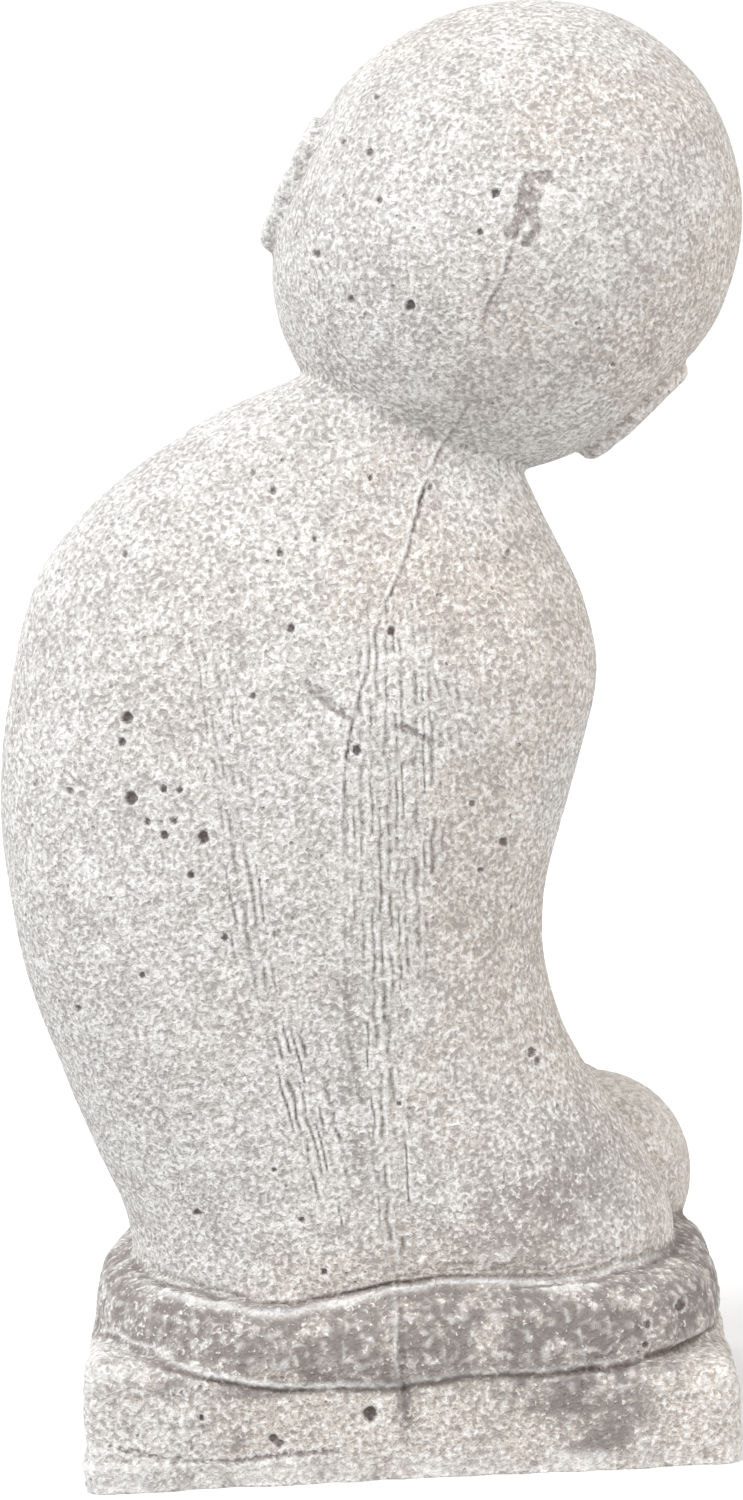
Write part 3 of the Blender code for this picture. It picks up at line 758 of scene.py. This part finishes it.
def listed_height(table, x, y, plain):
    """A height in metres: as listed in the table behind, and plain in front."""
    rows = np.array(table) / 1000
    listed = np.interp(x - MARKS_SHIFT[0], rows[:, 0], rows[:, 1]) + MARKS_SHIFT[1]
    return plain + (listed - plain) * ease(0.0, 0.045, y)


def hem_height(x, y):
    """Where the robe's edge meets the cushion, in metres above the floor."""
    return listed_height(HEM, x, y, SEAT_Z + x * math.tan(CUSHION_SLOPE))


def crease_height(x, y):
    """Where the cushion's lower edge meets the plinth, in metres above the floor."""
    return listed_height(CREASE, x, y, SEAT_Z - CUSHION_THICKNESS + CREASE_LIFT)


def wavy(along, size, seed):
    """Noise that changes only along one direction, with waves of this size."""
    zero = along * 0
    return noise(np.stack([zero, zero, along / size], 1), seed)


def fine_zone(p, n):
    """True where marks are too small for the plain mesh."""
    x, y, z = p.T
    mx, mz = (x - MARKS_SHIFT[0]) * 1000, (z - MARKS_SHIFT[1]) * 1000
    zone = np.zeros(len(p), bool)
    for px, pz, radius in PORES:
        zone |= np.hypot(mx - px, mz - pz) < radius + 1.0
    seam = through(SEAM, 8)
    zone |= (np.abs(mx - np.interp(mz, seam[:, 1], seam[:, 0])) < 2.6) & (mz < 345.0)
    for sx, sz, wide, tall, lean, _ in STROKES:
        zone |= np.hypot((mx - sx + (mz - sz) * lean) / wide, (mz - sz) / tall * 0.9) < 1.05
    for points, wide, _, _ in SCARS:
        zone |= to_line(mx, mz, points) < wide + 1.5
    zone |= np.abs(z - hem_height(x, y)) < 0.0042
    zone |= np.abs(z - crease_height(x, y)) < 0.0030
    zone &= (n[:, 1] > 0.1) & (y > 0.0)
    return zone | (face_cuts(p) > 0.00008) | (np.abs(carve_hands(p)) > 0.00008)


class Marks:
    """The marks of casting, trowel and weather at points p with normals n.

    height is how far each point stands out, in metres. From 0 to 1, grime, bleached and damp are how dirty it
    is, with the painted shade in its creases, gaps and stroke grooves, how lime-white it is, with the painted
    highlights on its lips and stroke crests, and how damp it is; hole is how far it lies in an air hole or a
    scar. mx and mz are its place in millimetres, as the tables of marks give theirs.
    """

    def __init__(self, p, n, sizes):
        self.p, self.n, self.sizes = p, n, sizes
        self.x, self.y, self.z = p.T
        self.mx = (self.x - MARKS_SHIFT[0]) * 1000
        self.mz = (self.z - MARKS_SHIFT[1]) * 1000
        self.behind = ease(0.05, 0.35, n[:, 1]) * (self.y > 0.0)
        self.low = ease(0.054, 0.048, self.z)
        self.height, self.grime_and_shade, self.bleach_and_highlight, self.damp, self.hole = np.zeros((5, len(p)))

    def add_skin(self):
        """Broad swells and a wrinkled grain, rougher on the cushion and plinth."""
        swells = cloudy(self.p, 0.026, 1) * 1.6 + self.low * cloudy(self.p, 0.019, 7) * 1.8
        warped = self.p / 0.0042 + 0.4 * cloudy(self.p, 0.011, 15)[:, None]
        wrinkles = 1 - 2 * np.abs(noise(warped, 11)) + 0.8 * noise(self.p / 0.0021, 13)
        self.height += self.sizes.unevenness * swells
        self.height += self.sizes.grain * wrinkles * (1 + 0.8 * self.low)

    def add_seam(self):
        """The mould's seam: a ragged groove with a pale rim, and a wider scraped band at its foot."""
        p, mx, mz, behind = self.p, self.mx, self.mz, self.behind
        seam = through(SEAM, 8)
        off = mx - np.interp(mz, seam[:, 1], seam[:, 0])
        off += 0.6 * wavy(mz, 4.0, 21) + 0.6 * noise(p / 0.0018, 22)
        off /= self.sizes.seam_width * 1000
        strength = behind * np.interp(mz, seam[:, 1], seam[:, 2])
        strength *= np.clip(0.8 + 1.4 * wavy(mz, 6.0, 23), 0.1, 1.4)
        groove = np.exp(-off * off) * strength
        rims = np.exp(-((off - 1.9) ** 2) * 1.2) * strength
        self.height += self.sizes.seam_depth * (0.6 * rims - groove)
        wide = np.interp(mz, (8.0, 22.0, 34.0, 50.0), (2.6, 2.2, 1.3, 0.7))
        band = np.exp(-(((mx - 0.9) / wide) ** 4)) * behind
        band *= np.interp(mz, (7.0, 12.0, 26.0, 34.0, 40.0, 50.0), (0.0, 0.45, 0.75, 0.8, 0.25, 0.1))
        band *= np.clip(0.9 + 1.3 * noise(p / 0.0022, 25), 0.1, 1.3)
        self.height -= 0.0003 * band
        self.grime_and_shade = np.maximum(0.6 * groove, 0.75 * band)
        self.bleach_and_highlight = rims

    def add_strokes(self):
        """Wavering strokes side by side in each band, which start and stop."""
        p, mx, mz = self.p, self.mx, self.mz
        for number, (sx, sz, wide, tall, lean, strong) in enumerate(STROKES):
            across = mx - sx + (mz - sz) * lean
            bend = 0.9 * wavy(across, 5.5, 33 + number)
            bend += 0.6 * noise(np.stack([mx / 5.0, mx * 0, mz / 8.0], 1), 35 + number)
            phase = across / STROKE_STEP + bend
            which = np.floor(phase)
            life = noise(np.stack([which * 3.7, mx * 0 + number, mz / 8.5], 1), 31)
            life += 0.28 * noise(p / 0.0026, 37)
            reach = np.hypot(across / wide, (mz - sz) / tall * 0.9)
            life = ease(-0.16, 0.08, life) * ease(1.1, 0.85, reach) * self.behind * strong
            swing = phase - which - 0.5
            line = np.exp(-((swing / 0.18) ** 2)) * life
            crest = np.exp(-(((np.abs(swing) - 0.38) / 0.11) ** 2)) * life
            self.height += self.sizes.stroke_depth * (0.35 * crest - line)
            # Painted shade in each stroke's groove and a painted highlight on its crests
            self.grime_and_shade = np.maximum(self.grime_and_shade, 0.55 * line)
            self.bleach_and_highlight = np.maximum(self.bleach_and_highlight, 0.6 * crest)

    def add_scars(self):
        """Crumbled hollows with a pale edge."""
        p, behind = self.p, self.behind
        rough = noise(p / 0.0016, 41) * 1.3 + noise(p / 0.0045, 42) * 0.7
        crumbs = ease(-0.38, -0.10, noise(p / 0.0019, 43))
        for points, wide, deep, dirty in SCARS:
            away = to_line(self.mx, self.mz, points) + rough
            cut = ease(1.3 * wide, 0.7 * wide, away) * crumbs * behind
            edge = np.exp(-(((away / wide - 1.7) / 0.35) ** 2)) * behind
            self.height -= deep / 1000 * cut * (1 + 0.6 * noise(p / 0.0013, 45))
            self.hole = np.maximum(self.hole, cut * dirty * (1.2 + 0.6 * noise(p / 0.0012, 47)))
            self.grime_and_shade = np.maximum(self.grime_and_shade, 0.30 * cut * dirty)
            self.bleach_and_highlight = np.maximum(self.bleach_and_highlight, 0.7 * edge * dirty)

    def add_hem(self):
        """The robe's edge on the cushion: a lip, a gap over it, and two pleats to its right."""
        mx = self.mx
        rise = (self.z - hem_height(self.x, self.y)) * 1000 + 0.6 * wavy(mx, 9.0, 51)
        here = ease(0.1, 0.4, self.n[:, 1]) * ease(0.020, 0.040, self.y)
        lip = np.exp(-((rise / 0.9) ** 2)) * here * (0.8 + 0.5 * wavy(mx, 7.0, 53))
        deep = np.interp(mx, (-60.0, -20.0, 5.0, 35.0, 60.0), (0.3, 0.6, 1.2, 1.0, 0.4))
        gap = np.exp(-(((rise - 1.8) / 0.6) ** 2)) * here * deep
        pleats = np.exp(-(((rise - 3.7) / 0.45) ** 2)) + 0.7 * np.exp(-(((rise - 5.3) / 0.4) ** 2))
        pleats = pleats * ease(8.0, -4.0, mx) * ease(-62.0, -46.0, mx) * here
        self.height += 0.0008 * lip - 0.0007 * gap - 0.0003 * pleats
        # Painted shade in the gap and the pleats, and a painted highlight on the lip
        self.grime_and_shade = self.grime_and_shade + gap + 0.6 * pleats
        self.bleach_and_highlight = self.bleach_and_highlight + lip

    def add_crease(self):
        """The crack between cushion and plinth, with a lip over it."""
        mx = self.mx
        rows = np.array(CREASE)
        rise = (self.z - crease_height(self.x, self.y)) * 1000
        rise += 0.8 * wavy(mx, 11.0, 55) + 0.7 * noise(self.p / 0.0025, 57)
        here = self.behind * np.interp(mx, rows[:, 0], rows[:, 2])
        here *= np.clip(0.9 + 0.9 * wavy(mx, 12.0, 59), 0.3, 1.3)
        crack = np.exp(-((rise / 0.8) ** 2)) * here
        lip = np.exp(-(((rise - 1.8) / 0.8) ** 2)) * self.behind * (0.35 + 0.5 * ease(-10.0, 20.0, mx))
        self.height += 0.0006 * lip - 0.0008 * crack
        # Painted shadow in the crack and a painted highlight on the lip over it
        self.grime_and_shade += 0.95 * crack
        self.bleach_and_highlight += 0.8 * lip

    def add_foot(self):
        """The plinth's sill and crumbled lower edge, and the coarser lumps of cushion and plinth."""
        p, z = self.p, self.z
        top, inner, out = SILL
        on_side = np.abs(self.n[:, 2]) < 0.7
        sill_top = top + 0.002 * wavy(self.mx, 25.0, 63)
        sill = ease(inner - 0.004, inner + 0.004, self.x) * ease(sill_top + 0.0008, sill_top - 0.0008, z)
        self.height += out * sill * on_side * (self.y > 0)
        crumble = ease(0.008, 0.0, z) * (0.45 + 1.5 * cloudy(p, 0.012, 61)) * on_side
        self.height -= self.sizes.edge_wear * np.clip(crumble, 0.0, 1.4)
        self.height += self.low * (0.0006 * cloudy(p, 0.008, 65) + 0.0004 * noise(p / 0.0028, 66))
        patchy = np.clip(0.5 + 1.5 * cloudy(p, 0.01, 67), 0.0, 1.0)
        self.bleach_and_highlight += 0.6 * ease(0.009, 0.003, z) * patchy

    def add_pores(self):
        """Air holes with a faint raised rim."""
        for px, pz, radius in PORES:
            away = np.hypot(self.mx - px, (self.mz - pz) * 0.9) / radius + 0.35 * noise(self.p / 0.0013, 71)
            pit = ease(1.0, 0.55, away) * self.behind
            self.height -= radius * 0.0011 * pit
            self.height += 0.00012 * np.exp(-(((away - 1.3) / 0.25) ** 2)) * self.behind
            self.hole = np.maximum(self.hole, ease(0.3, 0.9, pit))

    def add_damp(self):
        """The damp cushion, the stains behind, and a damp foot in front."""
        x, y, z = self.x, self.y, self.z
        self.damp = 0.70 * ease(0.0006, -0.0010, z - hem_height(x, y) - 0.0015)
        self.damp *= ease(-0.0020, 0.0010, z - crease_height(x, y))
        for sx, sz, wide, tall, much in STAINS:
            stain = np.exp(-(((self.mx - sx) / wide) ** 2) - ((self.mz - sz) / tall) ** 2)
            self.damp += 0.85 * much * stain * self.behind
        patchy = np.clip(0.4 + 1.6 * cloudy(self.p, 0.02, 73), 0.0, 1.0)
        self.damp += 0.45 * (1 - self.behind) * ease(0.022, 0.004, z) * patchy

    def add_all(self):
        """Every mark, in the order in which they lie over one another."""
        for add in (
            self.add_skin, self.add_seam, self.add_strokes, self.add_scars, self.add_hem,
            self.add_crease, self.add_foot, self.add_pores, self.add_damp,
        ):
            add()
        return self

    def kept(self):
        """What the material reads, by the name of its attribute."""
        names = ("grime_and_shade", "bleach_and_highlight", "damp", "hole")
        return {name: np.clip(getattr(self, name), 0.0, 1.0) for name in names}


def carve_hands(p):
    """Grooves between the fingers, in metres."""
    x, y, z = (p - np.array(on_board(0, 0, 0))).T / UNIT
    on_hand = (np.abs(x) < 14) * ease(168, 173, z) * ease(202, 199, z) * (y < -48)
    slant = y + (z - 168) * -0.22
    grooves = sum(np.exp(-(((slant - at) / 0.55) ** 2)) for at in (-67.5, -63.2, -59.0))
    return -0.0006 * on_hand * grooves


def refined(mesh):
    """The mesh with the long edges in the fine zone split in two."""
    bm = bmesh.new()
    bm.from_mesh(mesh)
    bmesh.ops.triangulate(bm, faces=bm.faces[:])
    fine = bpy.data.meshes.new("fine")
    bm.to_mesh(fine)
    p, n = positions(fine), normals(fine)
    ends = np.empty(len(fine.edges) * 2, dtype=np.int64)
    fine.edges.foreach_get("vertices", ends)
    a, b = ends.reshape(-1, 2).T
    inside = fine_zone(p, n)
    wanted = inside[a] & inside[b] & (np.linalg.norm(p[a] - p[b], axis=1) > FINE_EDGE)
    bm.edges.ensure_lookup_table()
    bmesh.ops.subdivide_edges(
        bm, edges=[bm.edges[i] for i in np.flatnonzero(wanted)], cuts=1, smooth=0.0, use_grid_fill=True,
        use_single_edge=True,
    )
    bmesh.ops.triangulate(bm, faces=[f for f in bm.faces if len(f.verts) > 3])
    bm.to_mesh(fine)
    bm.free()
    return fine


def sheltered(mesh):
    """How closed in each vertex is, from 0 in the open to 1 in a deep crease; the material paints the closed
    places as shade.
    """
    p, n = positions(mesh), normals(mesh)
    tree = BVHTree.FromPolygons(p.tolist(), [tuple(f.vertices) for f in mesh.polygons])
    golden = math.pi * (3 - math.sqrt(5))
    rays = []
    for k in range(SHELTER_RAYS):
        up = 1 - (2 * k + 1) / SHELTER_RAYS
        across = math.sqrt(1 - up * up)
        rays.append(Vector((across * math.cos(golden * k), across * math.sin(golden * k), up)))
    facing = n @ np.array(rays).T
    starts = p + n * SHELTER_START
    closed = np.zeros(len(p))
    for i in range(len(p)):
        start = Vector(starts[i])
        total = hits = 0.0
        for k, ray in enumerate(rays):
            weight = facing[i, k]
            if weight > 0.1:
                total += weight
                distance = tree.ray_cast(start, ray, SHELTER_REACH)[3]
                if distance is not None:
                    hits += weight * (1 - distance / SHELTER_REACH)
        closed[i] = hits / total
    return closed


def raised(mesh):
    """How far each vertex stands above its neighbours, in metres: ridges above 0, hollows below."""
    p, n = positions(mesh), normals(mesh)
    ends = np.empty(len(mesh.edges) * 2, dtype=np.int64)
    mesh.edges.foreach_get("vertices", ends)
    a, b = ends.reshape(-1, 2).T
    total, count = np.zeros_like(p), np.zeros(len(p))
    for here, there in ((a, b), (b, a)):
        for axis in range(3):
            total[:, axis] += np.bincount(here, weights=p[there, axis], minlength=len(p))
        count += np.bincount(here, minlength=len(p))
    return np.sum((p - total / count[:, None]) * n, axis=1)


def cut_flat(mesh):
    """The same skin cut level at z = 0 and closed there, so that the underside is one flat face."""
    bm = bmesh.new()
    bm.from_mesh(mesh)
    made = bmesh.ops.bisect_plane(
        bm, geom=bm.verts[:] + bm.edges[:] + bm.faces[:], dist=1e-6, plane_co=(0, 0, 0),
        plane_no=(0, 0, 1), clear_inner=True,
    )
    rim = [e for e in made["geom_cut"] if isinstance(e, bmesh.types.BMEdge)]
    bmesh.ops.holes_fill(bm, edges=rim, sides=0)
    bmesh.ops.triangulate(bm, faces=[f for f in bm.faces if len(f.verts) > 4])
    bmesh.ops.recalc_face_normals(bm, faces=bm.faces)
    result = bpy.data.meshes.new("cut")
    bm.to_mesh(result)
    bm.free()
    return result


def store(mesh, name, values):
    """Keeps one number per vertex on the mesh, for the material to read."""
    mesh.attributes.new(name, "FLOAT", "POINT").data.foreach_set("value", values.astype(np.float32))


class Shader:
    """Adds nodes to a material's tree and links them."""

    def __init__(self, material):
        material.use_nodes = True
        self.tree = material.node_tree
        self.surface = self.tree.nodes["Principled BSDF"]
        self.place = self.tree.nodes.new("ShaderNodeTexCoord").outputs["Object"]

    def wire(self, value, socket):
        """Links an output to the socket, or sets a plain value there."""
        if isinstance(value, bpy.types.NodeSocket):
            self.tree.links.new(value, socket)
        else:
            socket.default_value = value

    def noise(self, scale, detail=2.0, rough=0.5, distortion=0.0):
        """Clouds in the piece's own place, with this many to the metre."""
        node = self.tree.nodes.new("ShaderNodeTexNoise")
        self.wire(self.place, node.inputs["Vector"])
        settings = {"Scale": scale, "Detail": detail, "Roughness": rough, "Distortion": distortion}
        for key, value in settings.items():
            node.inputs[key].default_value = value
        return node.outputs["Fac"]

    def cells(self, scale):
        """Scattered cells: the distance to each one's middle, and a colour of its own."""
        node = self.tree.nodes.new("ShaderNodeTexVoronoi")
        self.wire(self.place, node.inputs["Vector"])
        node.inputs["Scale"].default_value = scale
        return node.outputs["Distance"], node.outputs["Color"]

    def math(self, operation, a, b):
        """One sum of two values."""
        node = self.tree.nodes.new("ShaderNodeMath")
        node.operation = operation
        self.wire(a, node.inputs[0])
        self.wire(b, node.inputs[1])
        return node.outputs["Value"]

    def span(self, value, low, high, out_low=0.0, out_high=1.0):
        """A smooth change from out_low to out_high as the value goes from low to high."""
        node = self.tree.nodes.new("ShaderNodeMapRange")
        node.interpolation_type = "SMOOTHSTEP"
        self.wire(value, node.inputs["Value"])
        settings = {"From Min": low, "From Max": high, "To Min": out_low, "To Max": out_high}
        for key, number in settings.items():
            node.inputs[key].default_value = number
        return node.outputs["Result"]

    def mix(self, share, under, over):
        """This share of the colour over laid on the colour under."""
        node = self.tree.nodes.new("ShaderNodeMix")
        node.data_type = "RGBA"
        self.wire(share, node.inputs["Factor"])
        self.wire(under, node.inputs["A"])
        self.wire(over, node.inputs["B"])
        return node.outputs["Result"]

    def kept(self, name):
        node = self.tree.nodes.new("ShaderNodeAttribute")
        node.attribute_name = name
        return node.outputs["Fac"]

    def point(self):
        node = self.tree.nodes.new("ShaderNodeSeparateXYZ")
        self.wire(self.place, node.inputs[0])
        return node.outputs["X"], node.outputs["Y"], node.outputs["Z"]

    def bump(self, height, distance, strength, under=None):
        node = self.tree.nodes.new("ShaderNodeBump")
        node.inputs["Distance"].default_value = distance
        node.inputs["Strength"].default_value = strength
        self.wire(height, node.inputs["Height"])
        if under is not None:
            self.wire(under, node.inputs["Normal"])
        return node.outputs["Normal"]


def concrete(colours):
    """Dry cast concrete: mottled with lime on its raised grain, mauve in its holes, dirty in its seams and
    scars, with painted shade in its creases and hollows and on the side away from the key light, and painted
    highlights on its ridges, lips and stroke crests.
    """
    material = bpy.data.materials.new("weathered_concrete")
    s = Shader(material)
    x, y, z = s.point()

    broad = s.noise(14.0, 3.0, 0.55)
    patches = s.noise(85.0, 3.0, 0.6)
    # Painted shade: away from the key light (towards -x) and low down the colour turns warmer, in broad
    # clouds
    aside = s.math("ADD", x, s.math("MULTIPLY", z, 0.28))
    warm_cloud_and_side_shade = s.span(s.math("ADD", broad, s.math("MULTIPLY", aside, -2.0)), 0.28, 0.58)
    dull = s.mix(warm_cloud_and_side_shade, colours.pale, colours.cloud_and_side_shade_beige)
    dull = s.mix(s.span(patches, 0.35, 0.70, 0.0, 0.16), dull, PATCH_TONE)
    damp = s.math("MULTIPLY", s.kept("damp"), s.span(s.noise(115.0, 5.0, 0.72), 0.34, 0.60, 0.15, 1.45))
    dull = s.mix(s.math("MINIMUM", damp, 1.0), dull, colours.cushion)

    mottle = s.noise(700.0, 2.0, 0.55, 0.4)
    shift = s.math("MULTIPLY", s.math("SUBTRACT", patches, 0.5), -0.17)
    # Less bloom where that painted shade lies
    shift = s.math("SUBTRACT", shift, s.math("MULTIPLY", warm_cloud_and_side_shade, 0.04))
    shift = s.math("SUBTRACT", shift, s.math("MULTIPLY", damp, 0.10))
    level = s.math("ADD", mottle, shift)
    contrast = s.span(y, -0.010, -0.035, 1.0, 0.50)
    gaps = s.math("MULTIPLY", s.span(level, 0.48, 0.34, 0.0, 0.56), contrast)
    colour = s.mix(gaps, dull, GAP_TONE)
    bloom = s.math("MULTIPLY", s.span(level, 0.47, 0.64, 0.0, 0.85), contrast)
    colour = s.mix(bloom, colour, colours.bloom_and_highlight)

    sand = s.noise(2100.0, 2.0, 0.6)
    colour = s.mix(s.span(sand, 0.52, 0.30, 0.0, 0.30), colour, SAND_TONE)
    distance, cell_colour = s.cells(330.0)
    few = s.span(cell_colour, 0.66, 0.70)
    pinholes = s.math("MULTIPLY", s.span(distance, 0.20, 0.08), few)
    colour = s.mix(s.math("MULTIPLY", pinholes, 0.6), colour, colours.hole)

    # Painted highlight on ridges and painted shade in hollows, by how far each point stands above its
    # neighbours
    relief = s.kept("relief")
    colour = s.mix(s.span(relief, 0.05, 0.7, 0.0, 0.45), colour, colours.bloom_and_highlight)
    colour = s.mix(s.span(relief, -0.08, -0.9, 0.0, 0.45), colour, colours.grime_and_shade)
    ragged = s.noise(900.0, 2.0, 0.6)
    # Pale bleached rims and edges, with painted highlights on the lips of hem and crease and on the stroke
    # crests
    bleach_and_highlight = s.math("MULTIPLY", s.kept("bleach_and_highlight"), s.span(ragged, 0.30, 0.55, 0.5, 1.0))
    colour = s.mix(s.math("MULTIPLY", bleach_and_highlight, 0.85), colour, colours.bloom_and_highlight)
    # Dirt in seams and scars, with painted shade in the cushion's crease, the hem's gap and pleats, and the
    # stroke grooves
    dirt_and_shade = s.math("MULTIPLY", s.kept("grime_and_shade"), s.span(ragged, 0.70, 0.40, 0.45, 1.0))
    colour = s.mix(dirt_and_shade, colour, colours.grime_and_shade)
    hollow = s.math("MULTIPLY", s.kept("hole"), s.span(ragged, 0.62, 0.42, 0.35, 0.95))
    colour = s.mix(hollow, colour, colours.hole)
    # Painted shade where the surface is closed in: creases, hollows and under overhangs
    shade = s.span(s.kept("shelter"), 0.15, 0.8, 0.0, 0.55)
    colour = s.mix(shade, colour, colours.grime_and_shade)
    s.wire(colour, s.surface.inputs["Base Color"])

    s.surface.inputs["Roughness"].default_value = 0.93
    s.surface.inputs["Specular IOR Level"].default_value = 0.25
    fine = s.bump(sand, 0.00018, 0.8)
    grain = s.bump(mottle, 0.0012, 0.9, fine)
    pits = s.bump(s.math("SUBTRACT", 1.0, pinholes), 0.0004, 0.8, grain)
    s.wire(pits, s.surface.inputs["Normal"])
    return material


class MONK_OT_cast_statue(bpy.types.Operator):
    """Casts the statue: figure, cushion and plinth in one piece, with all its marks."""

    bl_idname = "monk.cast_statue"
    bl_label = "Cast the statue"

    def execute(self, context):
        sizes = context.scene.monk_sizes
        skin = refined(whole_figure())
        p, n = positions(skin), normals(skin)
        height = Marks(p, n, sizes).add_all().height + carve_hands(p) - face_cuts(p)
        p += n * height[:, None]
        skin.vertices.foreach_set("co", p.ravel())
        skin.update()
        count = sum(len(f.vertices) - 2 for f in skin.polygons)
        if count > TRIANGLES:
            skin = evaluated_copy(skin, (("DECIMATE", {"ratio": TRIANGLES / count}),))
        skin = cut_flat(skin)
        skin.name = "statue_cast"
        p, n = positions(skin), normals(skin)
        for name, values in Marks(p, n, sizes).add_all().kept().items():
            store(skin, name, values)
        # Shelter and relief are read by the material to paint shade in closed places and hollows and
        # highlights on ridges
        store(skin, "shelter", sheltered(skin))
        store(skin, "relief", np.clip(raised(skin) / RELIEF_RANGE, -1.0, 1.0))
        skin.shade_smooth()
        statue = bpy.data.objects.new("statue_cast", skin)
        context.scene.collection.objects.link(statue)
        skin.materials.append(concrete(context.scene.monk_colours))
        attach(statue, "root")
        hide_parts("monk_statue")
        return {"FINISHED"}


def add_floor(scene, stage):
    """The pale floor, which gives the statue its shadow and no light from below."""
    bm = bmesh.new()
    bmesh.ops.create_circle(bm, cap_ends=True, segments=96, radius=FLOOR_RADIUS)
    mesh = bpy.data.meshes.new("floor")
    bm.to_mesh(mesh)
    bm.free()
    floor = bpy.data.objects.new("floor", mesh)
    scene.collection.objects.link(floor)
    paint = bpy.data.materials.new("floor_paint")
    paint.use_nodes = True
    surface = paint.node_tree.nodes["Principled BSDF"]
    surface.inputs["Base Color"].default_value = stage.floor
    surface.inputs["Roughness"].default_value = 0.9
    mesh.materials.append(paint)
    floor.visible_diffuse = False


def add_sky(scene, stage):
    """Even light from all round, with a plain pale background behind the statue."""
    world = bpy.data.worlds.new("soft_sky")
    world.use_nodes = True
    nodes, links = world.node_tree.nodes, world.node_tree.links
    sky = nodes["Background"]
    sky.inputs["Color"].default_value = SKY_COLOUR
    sky.inputs["Strength"].default_value = stage.sky
    backdrop = nodes.new("ShaderNodeBackground")
    backdrop.inputs["Color"].default_value = BACKDROP_COLOUR
    backdrop.inputs["Strength"].default_value = stage.backdrop
    seen = nodes.new("ShaderNodeMixShader")
    links.new(nodes.new("ShaderNodeLightPath").outputs["Is Camera Ray"], seen.inputs[0])
    links.new(sky.outputs[0], seen.inputs[1])
    links.new(backdrop.outputs[0], seen.inputs[2])
    links.new(seen.outputs[0], nodes["World Output"].inputs["Surface"])
    scene.world = world


def add_lamp(scene, name, kind, place, power, tint):
    """A soft lamp that looks at the statue: the broad sun, or a square panel."""
    data = bpy.data.lights.new(name, kind)
    if kind == "SUN":
        data.angle = KEY_WIDTH
    else:
        data.size = PANEL_SIZE
    data.energy = power
    data.color = tint
    lamp = bpy.data.objects.new(name, data)
    scene.collection.objects.link(lamp)
    aim = (LAMP_AIM - Vector(place)).to_track_quat("-Z", "Y").to_matrix().to_4x4()
    lamp.matrix_world = Matrix.Translation(place) @ aim


def add_camera(scene, stage):
    """The camera at the photo's angle, behind the statue and a little above it."""
    data = bpy.data.cameras.new("camera")
    data.sensor_fit = "VERTICAL"
    data.sensor_height = SENSOR_HEIGHT
    data.lens = SENSOR_HEIGHT * FOCAL_PIXELS / PHOTO_HEIGHT
    camera = bpy.data.objects.new("camera", data)
    scene.collection.objects.link(camera)
    eye = Vector((FIGURE_SHIFT, stage.camera_distance, stage.camera_height))
    look = (CAMERA_AIM - eye).to_track_quat("-Z", "Y").to_matrix()
    roll = Matrix.Rotation(-stage.camera_roll, 3, "Z")
    camera.matrix_world = Matrix.Translation(eye) @ (look @ roll).to_4x4()
    scene.camera = camera


class MONK_OT_set_stage(bpy.types.Operator):
    """Sets the pale floor, the soft lights and the camera."""

    bl_idname = "monk.set_stage"
    bl_label = "Set the stage"

    def execute(self, context):
        scene = context.scene
        stage = scene.monk_stage
        add_floor(scene, stage)
        add_sky(scene, stage)
        add_lamp(scene, "key", "SUN", KEY_PLACE, stage.key_power, (1.0, 1.0, 1.0))
        add_lamp(scene, "fill", "AREA", FILL_PLACE, stage.fill_power, (1.0, 0.95, 0.90))
        add_lamp(scene, "front", "AREA", FRONT_PLACE, stage.fill_power * 0.8, (1.0, 1.0, 1.0))
        add_camera(scene, stage)
        scene.view_settings.view_transform = "Standard"
        return {"FINISHED"}


class MONK_PT_panel(bpy.types.Panel):
    """Lists the sizes, colours and operators in the sidebar."""

    bl_idname = "MONK_PT_panel"
    bl_label = "Monk statue"
    bl_space_type = "VIEW_3D"
    bl_region_type = "UI"
    bl_category = "Monk statue"

    def draw(self, context):
        layout = self.layout
        scene = context.scene
        for group in (scene.monk_sizes, scene.monk_colours, scene.monk_stage):
            box = layout.box()
            for name in group.__annotations__:
                box.prop(group, name)
        for operator in (MONK_OT_cast_statue, MONK_OT_set_stage):
            layout.operator(operator.bl_idname)


CLASSES = (
    StatueSizes, ConcreteColours, StageSettings,
    MONK_OT_cast_statue, MONK_OT_set_stage, MONK_PT_panel,
)


def register():
    for kind in CLASSES:
        bpy.utils.register_class(kind)
    bpy.types.Scene.monk_sizes = PointerProperty(type=StatueSizes)
    bpy.types.Scene.monk_colours = PointerProperty(type=ConcreteColours)
    bpy.types.Scene.monk_stage = PointerProperty(type=StageSettings)


def unregister():
    del bpy.types.Scene.monk_stage, bpy.types.Scene.monk_colours, bpy.types.Scene.monk_sizes
    for kind in reversed(CLASSES):
        bpy.utils.unregister_class(kind)


def main():
    register()
    bpy.ops.monk.cast_statue()
    bpy.ops.monk.set_stage()


if __name__ == "__main__":
    main()
